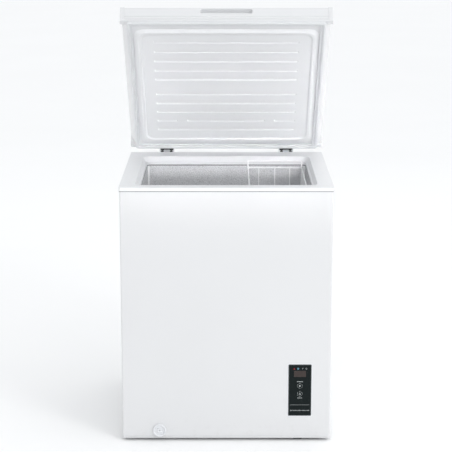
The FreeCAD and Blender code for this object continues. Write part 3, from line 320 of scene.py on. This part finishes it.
def board(name, base):
    """Circuit board: solder mask over tracks."""
    s = Shade(name)
    tracks = s.ramp(s.cells(330.0, "DISTANCE_TO_EDGE"), 0.04, 0.09)
    colour = s.mix(tracks, tone(base, 1.6), base)
    return s.finish(colour, s.ramp(s.noise(90.0), 0.3, 0.7, 0.3, 0.45), 0.0, s.bump(tracks, 0.00005, 0.6))


# rim_white, white_plastic and trim_white darken in their crevices: painted shade.
MAT = {
    "case_white": painted("case_white", (0.725, 0.728, 0.736)),
    "rim_white": moulded("rim_white", (0.76, 0.765, 0.777), 0.36, edge=0.0010, vary=0.012, painted_shade_amount=0.42),
    "liner_aluminium": stucco("liner_aluminium", (0.755, 0.76, 0.775)),
    "foam": foamed("foam", (0.82, 0.74, 0.52)),
    "galvanised": sheet_metal("galvanised", (0.62, 0.63, 0.64)),
    "tube_aluminium": tube_metal("tube_aluminium", (0.72, 0.72, 0.74), 0.34, (0.45, 0.45, 0.46)),
    "tube_steel": tube_metal("tube_steel", (0.45, 0.45, 0.46), 0.4, (0.28, 0.2, 0.15)),
    "copper": tube_metal("copper", (0.80, 0.43, 0.29), 0.28, (0.30, 0.16, 0.10)),
    "pipe_plastic": moulded("pipe_plastic", (0.72, 0.72, 0.73), 0.42),
    "compressor_black": painted("compressor_black", (0.028, 0.028, 0.031), 0.34, 0.00008, 0.0006, 0.2, False),
    "black_plastic": moulded("black_plastic", (0.028, 0.028, 0.03), 0.46, 0.00006, vary=0.12),
    "rubber_black": rubber("rubber_black", (0.022, 0.022, 0.022), 0.66),
    "screw_steel": sheet_metal("screw_steel", (0.66, 0.66, 0.66), 0.28, False, 1.0, 160.0),
    "hinge_steel": sheet_metal("hinge_steel", (0.60, 0.61, 0.63), 0.34, False, 0.9, 120.0),
    "cam_nylon": moulded("cam_nylon", (0.60, 0.61, 0.63), 0.45, sub=0.1),
    "gasket_grey": rubber("gasket_grey", (0.68, 0.69, 0.705), 0.5),
    "fascia_black": gloss_black("fascia_black", (0.006, 0.010, 0.0105), 0.16),
    "window_smoke": gloss_black("window_smoke", (0.055, 0.043, 0.040), 0.3),
    "white_plastic": moulded("white_plastic", (0.80, 0.81, 0.83), 0.34, edge=0.0007, vary=0.012, painted_shade_amount=0.30),
    "board_green": board("board_green", (0.04, 0.20, 0.09)),
    "basket_white": dipped("basket_white", (0.93, 0.935, 0.94)),
}
# Painted shadow and highlight colours: a grey for the bead under the rim's skirt, a white for the tub's corner
# highlights, a dark grey for the strip under the tub's rim.
MAT["shadow_bead_grey"] = rubber("shadow_bead_grey", (0.22, 0.225, 0.23), 0.6)
MAT["corner_highlight_white"] = rubber("corner_highlight_white", (0.90, 0.90, 0.905), 0.4)
MAT["shade_strip_dark"] = rubber("shade_strip_dark", (0.19, 0.195, 0.20), 0.6)
MAT["trim_white"] = moulded("trim_white", (0.72, 0.725, 0.735), 0.34, edge=0.0010, vary=0.012, painted_shade_amount=0.30)
INK_WHITE = printed("ink_white", (0.50, 0.53, 0.53))
INK_SOFT = printed("ink_soft", (0.34, 0.36, 0.36))
INK_DIM = printed("ink_dim", (0.16, 0.18, 0.18))
INK_RED = printed("ink_red", (0.40, 0.012, 0.016))
INK_BLUE = printed("ink_blue", (0.20, 0.50, 0.66))

for node, obj in NODES.items():
    obj.data.materials.clear()
    obj.data.materials.append(MAT["trim_white"] if node in ("lid_front_trim", "lid_end_cap_left", "lid_end_cap_right") else MAT[SLOT_OF[node]])


# ---------------------------------------------------------------- mesh helpers
def made(name, verts, faces, body, slot, mat=None, replaces=(), smooth=True, bevel=0.0, sub=0):
    me = bpy.data.meshes.new(name)
    me.from_pydata([tuple(v) for v in verts], [], [tuple(f) for f in faces])
    bm = bmesh.new()
    bm.from_mesh(me)
    bmesh.ops.remove_doubles(bm, verts=bm.verts, dist=1e-7)
    bmesh.ops.recalc_face_normals(bm, faces=bm.faces)
    bm.to_mesh(me)
    bm.free()
    for p in me.polygons:
        p.use_smooth = smooth
    me.materials.append(mat or MAT[slot])
    ob = bpy.data.objects.new(name, me)
    scene.collection.objects.link(ob)
    if bevel:
        m = ob.modifiers.new("edge", "BEVEL")
        m.width = bevel
        m.segments = 2
        m.limit_method = "ANGLE"
        m.angle_limit = math.radians(35)
    if sub:
        m = ob.modifiers.new("sub", "SUBSURF")
        m.levels = m.render_levels = sub
    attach(ob, body)
    if replaces:
        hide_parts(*replaces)
    return ob


def round_rect(x0, x1, y0, y1, r, seg=8):
    pts = []
    for cx, cy, a0 in ((x1 - r, y1 - r, 0), (x0 + r, y1 - r, 90), (x0 + r, y0 + r, 180), (x1 - r, y0 + r, 270)):
        for i in range(seg + 1):
            a = math.radians(a0 + 90 * i / seg)
            pts.append((cx + r * math.cos(a), cy + r * math.sin(a)))
    return pts


def sweep_ring(rect, profile, r, seg=8):
    """Closed band round a rounded rectangle. profile holds (inset from the outside, height) pairs."""
    x0, x1, y0, y1 = rect
    verts, faces = [], []
    m = len(profile)
    loops = [round_rect(x0 + u, x1 - u, y0 + u, y1 - u, max(r - u, 0.0012), seg) for u, _ in profile]
    n = len(loops[0])
    for i in range(n):
        for j, (_, h) in enumerate(profile):
            verts.append((loops[j][i][0], loops[j][i][1], h))
    for i in range(n):
        for j in range(m):
            a, b = i * m + j, i * m + (j + 1) % m
            c, d = ((i + 1) % n) * m + (j + 1) % m, ((i + 1) % n) * m + j
            faces.append((a, b, c, d))
    return verts, faces


PIVOT = Vector((0.0, 0.292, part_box("hinge_pin_left")[0].z + (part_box("hinge_pin_left")[1].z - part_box("hinge_pin_left")[0].z) / 2))
LID_TURN = Matrix.Translation(PIVOT) @ Matrix.Rotation(math.radians(-49.0), 4, "X") @ Matrix.Translation(-PIVOT)


def opened(verts):
    return [LID_TURN @ Vector(v) for v in verts]


def prism(loop, y0, y1, close=True):
    """Loop of (x, z) points, extruded from y0 (front) to y1."""
    n = len(loop)
    verts = [(x, y0, z) for x, z in loop] + [(x, y1, z) for x, z in loop]
    faces = [tuple(range(n)), tuple(range(2 * n - 1, n - 1, -1))]
    faces += [(i, (i + 1) % n, n + (i + 1) % n, n + i) for i in range(n)]
    return verts, faces


def band(outer, inner, y0, y1):
    """Closed flat band between two loops with as many points."""
    n = len(outer)
    verts = [(x, y0, z) for x, z in outer] + [(x, y0, z) for x, z in inner] + [(x, y1, z) for x, z in outer] + [(x, y1, z) for x, z in inner]
    faces = []
    for i in range(n):
        j = (i + 1) % n
        faces += [(i, j, n + j, n + i), (2 * n + i, 3 * n + i, 3 * n + j, 2 * n + j), (i, 2 * n + i, 2 * n + j, j), (n + i, n + j, 3 * n + j, 3 * n + i)]
    return verts, faces


def joined(parts):
    verts, faces = [], []
    for v, f in parts:
        k = len(verts)
        verts += list(v)
        faces += [tuple(i + k for i in q) for q in f]
    return verts, faces


# ---------------------------------------------------------------- lid gasket
# Extruded vinyl seal: anchor lip, folded bellows and the fat magnet tube that meets the rim.
gx, gy0, gy1 = 0.3106, -0.344 + 0.0022, -0.344 + 0.6185
gz = PIVOT.z + 0.030          # plane of the lid's underside, lid shut
seal = [(0.0002, 0.0), (0.0, -0.0014), (0.0011, -0.0022), (0.0019, -0.0031), (0.0009, -0.0042), (0.0007, -0.0071), (0.0014, -0.0087),
        (0.0030, -0.0096), (0.0056, -0.0097), (0.0082, -0.0094), (0.0096, -0.0083), (0.0101, -0.0066), (0.0110, -0.0052), (0.0124, -0.0046),
        (0.0142, -0.0050), (0.0158, -0.0062), (0.0174, -0.0064), (0.0181, -0.0053), (0.0176, -0.0034), (0.0181, -0.0016), (0.0178, 0.0)]
v, f = sweep_ring((-gx, gx, gy0, gy1), [(u, gz + h - 0.00003) for u, h in seal], 0.0105, 6)
made("gasket_seal", opened(v), f, "lid", "gasket_grey", replaces=["lid_gasket"])

# ---------------------------------------------------------------- control panel print
lo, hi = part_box("control_fascia")
cx, face, bot, top = (lo.x + hi.x) / 2, lo.y, lo.z, hi.z
INK = 0.00012


def rr(x0, x1, z0, z1, r, seg=5):
    return round_rect(x0, x1, z0, z1, r, seg)


def circle(x, z, r, n=40, a0=0.0):
    return [(x + r * math.cos(a0 + 2 * math.pi * i / n), z + r * math.sin(a0 + 2 * math.pi * i / n)) for i in range(n)]


surround = band(rr(lo.x - 0.0042, hi.x + 0.0042, bot - 0.0042, top + 0.0042, 0.0050), rr(lo.x + 0.0, hi.x - 0.0, bot + 0.0, top - 0.0, 0.0022), -0.34245, -0.34195)
made("panel_surround", surround[0], surround[1], "cabinet", "white_plastic", smooth=False, bevel=0.0003)
rim_line = band(rr(lo.x + 0.0012, hi.x - 0.0012, bot + 0.0012, top - 0.0012, 0.0016), rr(lo.x + 0.0017, hi.x - 0.0017, bot + 0.0017, top - 0.0017, 0.0013), face - INK, face + 0.0001)
made("panel_edge_print", rim_line[0], rim_line[1], "cabinet", "fascia_black", INK_DIM, smooth=False)
prints = []
zc = top - 0.013
tri = [(cx - 0.0203, zc - 0.0028), (cx - 0.0151, zc - 0.0028), (cx - 0.0177, zc + 0.0030)]
tri_in = [(cx - 0.0185, zc - 0.0018), (cx - 0.0169, zc - 0.0018), (cx - 0.0177, zc + 0.0004)]
v, f = band(tri, tri_in, face - INK, face + 0.0001)
made("panel_mark_alarm", v, f, "cabinet", "fascia_black", INK_RED, smooth=False)
arms = []
for k in range(6):
    a = math.pi * k / 6 * 2
    d, e = Vector((math.cos(a), math.sin(a))), Vector((-math.sin(a), math.cos(a)))
    base = Vector((cx - 0.0058, zc))
    w = 0.00042
    p = [base + d * 0.0003 + e * w, base + d * 0.0003 - e * w, base + d * 0.0032 - e * w * 0.7, base + d * 0.0032 + e * w * 0.7]
    arms.append(prism([(q.x, q.y) for q in p], face - INK, face + 0.0001))
    for sgn in (-1, 1):
        t = base + d * 0.0019
        u = (d * 0.8 + e * sgn).normalized()
        w2 = 0.0003
        x = Vector((-u.y, u.x)) * w2
        arms.append(prism([(q.x, q.y) for q in (t + x, t - x, t - x + u * 0.0010, t + x + u * 0.0010)], face - INK * (1.05 + 0.02 * sgn), face + 0.0001))
v, f = joined(arms)
made("panel_mark_cold", v, f, "cabinet", "fascia_black", INK_BLUE, smooth=False)
glass = [(-0.0030, 0.0036), (-0.0018, 0.0036), (0.0, 0.0008), (0.0018, 0.0036), (0.0030, 0.0036), (0.0005, -0.0002), (0.0005, -0.0036), (-0.0005, -0.0036), (-0.0005, -0.0002)]
prints.append(prism([(cx + 0.0082 + 0.70 * x, zc + 0.70 * z) for x, z in glass], face - INK, face + 0.0001))
prints.append(band(rr(cx + 0.0176, cx + 0.0216, zc - 0.0020, zc + 0.0020, 0.0008), rr(cx + 0.0182, cx + 0.0210, zc - 0.0014, zc + 0.0014, 0.0004), face - INK, face + 0.0001))
KEYS = {}
for key in ("key_adjust", "key_set"):
    a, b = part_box(key)
    KEYS[key] = ((a.x + b.x) / 2, (a.z + b.z) / 2, a.y)
ku, ks = KEYS["key_adjust"], KEYS["key_set"]
for z, w in ((ku[1] + 0.0138, 0.0096), (ks[1] - 0.0130, 0.0078)):
    for k in range(3):
        x0 = cx - w + k * (2 * w / 3) + 0.0005
        prints.append(prism(rr(x0, x0 + 2 * w / 3 - 0.0010, z - 0.0009, z + 0.0009, 0.0006, 3), face - INK, face + 0.0001))
v, f = joined(prints)
made("panel_marks", v, f, "cabinet", "fascia_black", INK_WHITE, smooth=False)
zl = bot + 0.0355
line = []
for k in range(15):
    x = lo.x + 0.0072 + k * (hi.x - lo.x - 0.0144) / 14
    h = 0.0019 if k % 7 == 0 else 0.0014
    line.append(prism(rr(x - 0.0009, x + 0.0009, bot + 0.0172 - h, bot + 0.0172 + h, 0.0006, 3), face - INK, face + 0.0001))
v, f = joined(line)
made("panel_scale", v, f, "cabinet", "fascia_black", INK_WHITE, smooth=False)
v, f = prism(rr(lo.x + 0.0048, hi.x - 0.0048, zl - 0.0004, zl + 0.0004, 0.00035, 3), face - INK, face + 0.0001)
made("panel_rule", v, f, "cabinet", "fascia_black", INK_SOFT, smooth=False)
for key, kind in (("key_adjust", "arrow"), ("key_set", "drop")):
    x, z, y = KEYS[key]
    parts = []
    for k in range(6):
        a0 = math.radians(60 * k + 8)
        a1 = math.radians(60 * k + 52)
        n = 8
        arc = [(x + 0.0080 * math.cos(a0 + (a1 - a0) * i / n), z + 0.0080 * math.sin(a0 + (a1 - a0) * i / n)) for i in range(n + 1)]
        arc += [(x + 0.0074 * math.cos(a1 - (a1 - a0) * i / n), z + 0.0074 * math.sin(a1 - (a1 - a0) * i / n)) for i in range(n + 1)]
        parts.append(prism(arc, y - INK, y + 0.0001))
    if kind == "arrow":
        parts.append(prism([(x - 0.0022, z + 0.0034), (x + 0.0036, z), (x - 0.0022, z - 0.0034)], y - INK, y + 0.0001))
    else:
        parts.append(band([(x - 0.0034, z - 0.0030), (x + 0.0034, z - 0.0030), (x, z + 0.0044)], [(x - 0.0021, z - 0.0021), (x + 0.0021, z - 0.0021), (x, z + 0.0024)], y - INK, y + 0.0001))
    v, f = joined(parts)
    made(key + "_print", v, f, key, "fascia_black", INK_WHITE, smooth=False)


# ---------------------------------------------------------------- wire basket
# Welded rods: top and middle ring, three long wires, eight cross wires, and four hooks over the ledges.
def rod_points(pts, bend, steps=7):
    """Polyline with rounded corners."""
    out = [Vector(pts[0])]
    for a, b, c in zip(pts, pts[1:], pts[2:]):
        a, b, c = Vector(a), Vector(b), Vector(c)
        u, w = (a - b).normalized(), (c - b).normalized()
        half = u.angle(w) / 2
        run = min(bend / math.tan(half), (a - b).length * 0.48, (c - b).length * 0.48)
        p, q = b + u * run, b + w * run
        for i in range(steps + 1):
            t = i / steps
            out.append(p * (1 - t) ** 2 + b * 2 * t * (1 - t) + q * t ** 2)
    out.append(Vector(pts[-1]))
    return out


def rods(name, runs, body, slot, replaces=()):
    cu = bpy.data.curves.new(name, "CURVE")
    cu.dimensions = "3D"
    cu.bevel_depth = 1.0
    cu.bevel_resolution = 3
    cu.use_fill_caps = True
    for pts, r, bend, closed in runs:
        line = rod_points(pts, bend)
        if closed:
            line = line[:-1]
        sp = cu.splines.new("POLY")
        sp.points.add(len(line) - 1)
        for k, p in enumerate(line):
            sp.points[k].co = (*p, 1.0)
            sp.points[k].radius = r
        sp.use_cyclic_u = closed
    tmp = bpy.data.objects.new(name + "_line", cu)
    scene.collection.objects.link(tmp)
    bpy.context.view_layer.update()
    me = bpy.data.meshes.new_from_object(tmp.evaluated_get(bpy.context.evaluated_depsgraph_get()))
    bpy.data.objects.remove(tmp)
    bpy.data.curves.remove(cu)
    me.name = name
    for p in me.polygons:
        p.use_smooth = True
    me.materials.clear()
    me.materials.append(MAT[slot])
    ob = bpy.data.objects.new(name, me)
    scene.collection.objects.link(ob)
    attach(ob, body)
    if replaces:
        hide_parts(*replaces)
    return ob


blo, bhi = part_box("wire_basket")
bx0, bx1 = blo.x + 0.0025, bhi.x - 0.0025
by0, by1 = blo.y + 0.011, bhi.y - 0.011
bt = 0.771
bb = bt - 0.172
lean = 0.008
R1, R2 = 0.00235, 0.00185
hang = bhi.z - 0.0022
runs = []
mx = (bx0 + bx1) / 2
for z, d, r in ((bt, 0.0, R1), (bt - 0.085, 0.0027, 0.0017)):
    x0, x1, y0, y1 = bx0 + d, bx1 - d, by0 + d, by1 - d
    runs.append(([(mx, y0, z), (x1, y0, z), (x1, y1, z), (x0, y1, z), (x0, y0, z), (mx, y0, z)], r, 0.012, True))
for x in (0.108, 0.162, 0.212):
    runs.append(([(x, by0 + 0.001, bt + 0.001), (x, by0 + lean, bb), (x, by1 - lean, bb), (x, by1 - 0.001, bt + 0.001)], R2, 0.010, False))
for i in range(8):
    y = by0 + 0.026 + (by1 - by0 - 0.052) * i / 7
    runs.append(([(bx0 + 0.001, y, bt + 0.001), (bx0 + lean, y, bb + 0.0024), (bx1 - lean, y, bb + 0.0024), (bx1 - 0.001, y, bt + 0.001)], R2, 0.010, False))
for x in (bx0, bx1):
    for y, sg in ((by0, -1), (by1, 1)):
        runs.append(([(x, y - sg * 0.030, bt + 0.0005), (x, y + sg * 0.0018, bt + 0.0005), (x, y + sg * 0.0018, hang), (x, y + sg * 0.0085, hang)], R1, 0.004, False))
for y in (by0 - 0.009, by1 + 0.009):
    runs.append(([(bx0 - 0.0022, y, hang), (mx, y, hang), (bx1 + 0.0022, y, hang)], 0.0020, 0.004, False))
rods("basket_rods", runs, "wire_basket", "basket_white", ["wire_basket"])

# ---------------------------------------------------------------- tub edge shadow strip
# Painted shadow: a dark strip where the sheet of the tub tucks under the moulded rim, standing in for the shade in that
# gap.
llo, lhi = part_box("inner_liner")
rim_lo, rim_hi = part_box("rim_frame")
shade_strip_top = rim_lo.z - 0.0002
shade_strip_profile = [(0.0, shade_strip_top), (0.0003, shade_strip_top), (0.0005, shade_strip_top - 0.0004), (0.0005, shade_strip_top - 0.0029), (0.0003, shade_strip_top - 0.0033), (0.0, shade_strip_top - 0.0034)]
v, f = sweep_ring((-0.2651, 0.2651, -0.2911, 0.1761), shade_strip_profile, 0.0141, 8)
made("tub_edge_shade_strip", v, f, "cabinet", "rubber_black", MAT["shade_strip_dark"])

# ---------------------------------------------------------------- corner highlight strips of the tub
# Painted highlight: a white strip down each rear corner of the tub, standing in for the bright reflection on the
# corner's bend.
CR = 0.014
for side, sx in (("left", -1), ("right", 1)):
    ax, ay = sx * (0.265 - CR), 0.176 - CR
    foot = 0.0915 if sx < 0 else 0.3395
    verts, faces, ring = [], [], 9
    rows = [foot + (shade_strip_top - 0.0036 - foot) * k / 24 for k in range(25)]
    for k, z in enumerate(rows):
        wide = 0.0037 + 0.0003 * math.sin(k * 1.7) + 0.0002 * math.sin(k * 0.6 + 1.0)
        mid = math.radians(45)
        for q in range(ring):
            t = q / (ring - 1)
            off = (t - 0.5) * 2 * wide / CR
            rad = CR + 0.0002 - 0.0018 * math.sin(math.pi * t)
            verts.append((ax + sx * rad * math.cos(mid + off), ay + rad * math.sin(mid + off), z))
    for k in range(len(rows) - 1):
        for q in range(ring - 1):
            a = k * ring + q
            faces.append((a, a + 1, a + ring + 1, a + ring))
        faces.append((k * ring + ring - 1, k * ring, (k + 1) * ring, (k + 1) * ring + ring - 1))
    faces += [tuple(range(ring)), tuple(range((len(rows) - 1) * ring, len(rows) * ring))[::-1]]
    made("tub_corner_highlight_" + side, verts, faces, "cabinet", "white_plastic", MAT["corner_highlight_white"])

# ---------------------------------------------------------------- hinge covers
# Black moulded hood over each pin: two cheeks and a brow that leave the nylon cam showing. Its black is painted shade,
# standing in for the shaded gaps either side of the cam.
for side in ("left", "right"):
    a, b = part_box("hinge_pin_" + side)
    hx = (a.x + b.x) / 2
    half = [(20.5, 19.5), (19.6, 22.4), (17.2, 24.3), (13.8, 24.3), (11.4, 22.6), (10.3, 20.0), (10.3, 6.0)]
    hood = [(-20.5, -4), (20.5, -4)] + half + [(-x, z) for x, z in reversed(half)]
    front = prism([(hx + x / 1000, PIVOT.z + z / 1000) for x, z in hood], PIVOT.y - 0.0132, PIVOT.y - 0.0120)
    cheeks = []
    for s0 in (-1, 1):
        loop = [(10.3, -4), (20.3, -4), (20.3, 19.0), (19.2, 22.2), (17.0, 23.9), (13.8, 23.9), (11.4, 22.2), (10.3, 20.0)]
        cheeks.append(prism([(hx + s0 * x / 1000, PIVOT.z + z / 1000) for x, z in loop], PIVOT.y - 0.0121, PIVOT.y + 0.0075))
    v, f = joined([front] + cheeks)
    made("hinge_shade_hood_" + side, v, f, "cabinet", "black_plastic", smooth=False, bevel=0.0004)
    # Painted shade: a black rubber lip under the lid's hinge edge, standing in for the shadowed gap there.
    lip = [(-21.2, 20.9), (-20.2, 20.7), (20.2, 20.7), (21.2, 20.9), (21.2, 24.6), (-21.2, 24.6)]
    v, f = prism([(hx + x / 1000, PIVOT.z + z / 1000) for x, z in lip], PIVOT.y + 0.0166, PIVOT.y + 0.0204)
    made("buffer_shade_lip_" + side, v, f, "lid", "rubber_black", smooth=False, bevel=0.0003)

# ---------------------------------------------------------------- painted shadow bead under the rim's skirt
# Painted shadow: a grey bead round the cabinet under the rim's skirt, standing in for the shade line there.
rlo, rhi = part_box("rim_frame")
wlo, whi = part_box("outer_wrap")
skirt = rhi.z - 0.011
shadow_bead_profile = [(0.0010, skirt - 0.0024), (0.0003, skirt - 0.0021), (0.0, skirt - 0.0012), (0.0003, skirt - 0.0003), (0.0012, skirt + 0.0001), (0.0019, skirt + 0.0001), (0.0019, skirt - 0.0024)]
v, f = sweep_ring((wlo.x - 0.0011, whi.x + 0.0011, wlo.y - 0.0011, rhi.y - 0.0012), shadow_bead_profile, 0.004, 6)
made("rim_shadow_bead", v, f, "cabinet", "rubber_black", MAT["shadow_bead_grey"])

# ---------------------------------------------------------------- rolled hem under the wrap
# The sheet of the front and sides turns under in a rolled hem, a few millimetres below the base pan.
low = wlo.z
hem = [(0.0, low + 0.0004), (0.0, low - 0.0048), (0.0005, low - 0.0060), (0.0015, low - 0.0064), (0.0025, low - 0.0060), (0.0030, low - 0.0048), (0.0030, low + 0.0004)]
hx0, hx1, hy0, hy1 = wlo.x, whi.x, wlo.y, whi.y - 0.020
hr = 0.004
verts, faces = [], []
path = []
for u, _ in hem:
    r0 = max(hr - u, 0.0008)
    line = [(hx0 + u, hy1)]
    for k in range(7):
        a = math.radians(180 + 15 * k)
        line.append((hx0 + u + r0 + r0 * math.cos(a), hy0 + u + r0 + r0 * math.sin(a)))
    for k in range(7):
        a = math.radians(270 + 15 * k)
        line.append((hx1 - u - r0 + r0 * math.cos(a), hy0 + u + r0 + r0 * math.sin(a)))
    line.append((hx1 - u, hy1))
    path.append(line)
m = len(hem)
for i in range(len(path[0])):
    for j in range(m):
        verts.append((path[j][i][0], path[j][i][1], hem[j][1]))
for i in range(len(path[0]) - 1):
    for j in range(m):
        faces.append((i * m + j, i * m + (j + 1) % m, (i + 1) * m + (j + 1) % m, (i + 1) * m + j))
faces += [tuple(range(m)), tuple(range(len(verts) - m, len(verts)))[::-1]]
made("wrap_hem", verts, faces, "cabinet", "case_white")

# ---------------------------------------------------------------- floor, light, camera
bpy.ops.mesh.primitive_circle_add(vertices=96, radius=30.0, fill_type="NGON", location=(0, 0, 0))
floor = bpy.context.object
floor.name = "floor"
fs = Shade("floor_pale")
tint = fs.mix(fs.ramp(fs.noise(0.8, 3.0), 0.35, 0.65), (0.975, 0.975, 0.975), (0.985, 0.985, 0.985))
floor.data.materials.append(fs.finish(tint, fs.ramp(fs.noise(14.0), 0.3, 0.7, 0.75, 0.85), 0.0, fs.bump(fs.noise(300.0), 0.0002, 0.1)))

world = bpy.data.worlds.new("studio")
scene.world = world
world.use_nodes = True
wt = world.node_tree
wt.nodes.clear()
wo = wt.nodes.new("ShaderNodeOutputWorld")
seen, lit, pick, path = (wt.nodes.new(k) for k in ("ShaderNodeBackground", "ShaderNodeBackground", "ShaderNodeMixShader", "ShaderNodeLightPath"))
seen.inputs[0].default_value = (1, 1, 1, 1)
seen.inputs[1].default_value = 1.02
lit.inputs[0].default_value = (0.97, 0.985, 1.0, 1)
lit.inputs[1].default_value = 0.93
aim, split, fade = (wt.nodes.new(k) for k in ("ShaderNodeTexCoord", "ShaderNodeSeparateXYZ", "ShaderNodeMapRange"))
wt.links.new(aim.outputs["Generated"], split.inputs[0])
wt.links.new(split.outputs[0], fade.inputs["Value"])
fade.inputs["From Min"].default_value, fade.inputs["From Max"].default_value = -1.0, 1.0
fade.inputs["To Min"].default_value, fade.inputs["To Max"].default_value = 0.81, 1.17
wt.links.new(fade.outputs[0], lit.inputs[1])
wt.links.new(path.outputs["Is Camera Ray"], pick.inputs[0])
wt.links.new(lit.outputs[0], pick.inputs[1])
wt.links.new(seen.outputs[0], pick.inputs[2])
wt.links.new(pick.outputs[0], wo.inputs[0])


def softbox(name, where, target, w, h, power, colour=(1, 1, 1)):
    d = bpy.data.lights.new(name, "AREA")
    d.shape = "RECTANGLE"
    d.size, d.size_y, d.energy, d.color = w, h, power, colour
    o = bpy.data.objects.new(name, d)
    scene.collection.objects.link(o)
    o.location = where
    o.visible_camera = False
    o.rotation_euler = (Vector(target) - Vector(where)).to_track_quat("-Z", "Y").to_euler()
    return o


softbox("key", (2.7, -3.3, 3.0), (0, 0, 0.7), 1.4, 1.4, 47)
softbox("side", (3.6, -1.0, 1.5), (0, 0, 0.8), 1.8, 1.8, 2)
softbox("overhead", (0.1, -1.4, 2.7), (0, 0.0, 0.6), 1.0, 0.8, 0.7)
softbox("rear", (0.8, 3.4, 2.6), (0, 0.2, 0.7), 2.6, 2.0, 4)
grid = softbox("lid_grid", (0.15, -3.1, 1.22), (0, 0.20, 0.95), 0.9, 0.26, 0.54)
grid.data.spread = math.radians(11)

cam_data = bpy.data.cameras.new("camera")
cam_data.sensor_width = 36.0
cam_data.lens = 117.7
cam_data.shift_x, cam_data.shift_y = -0.0008, -0.030
cam_data.clip_end = 100.0
cam = bpy.data.objects.new("camera", cam_data)
scene.collection.objects.link(cam)
cam.location = (0.0, -4.700, 1.683)
cam.rotation_euler = (math.radians(90.0 - 12.34), 0.0, 0.0)
scene.camera = cam
scene.view_settings.view_transform = "Standard"
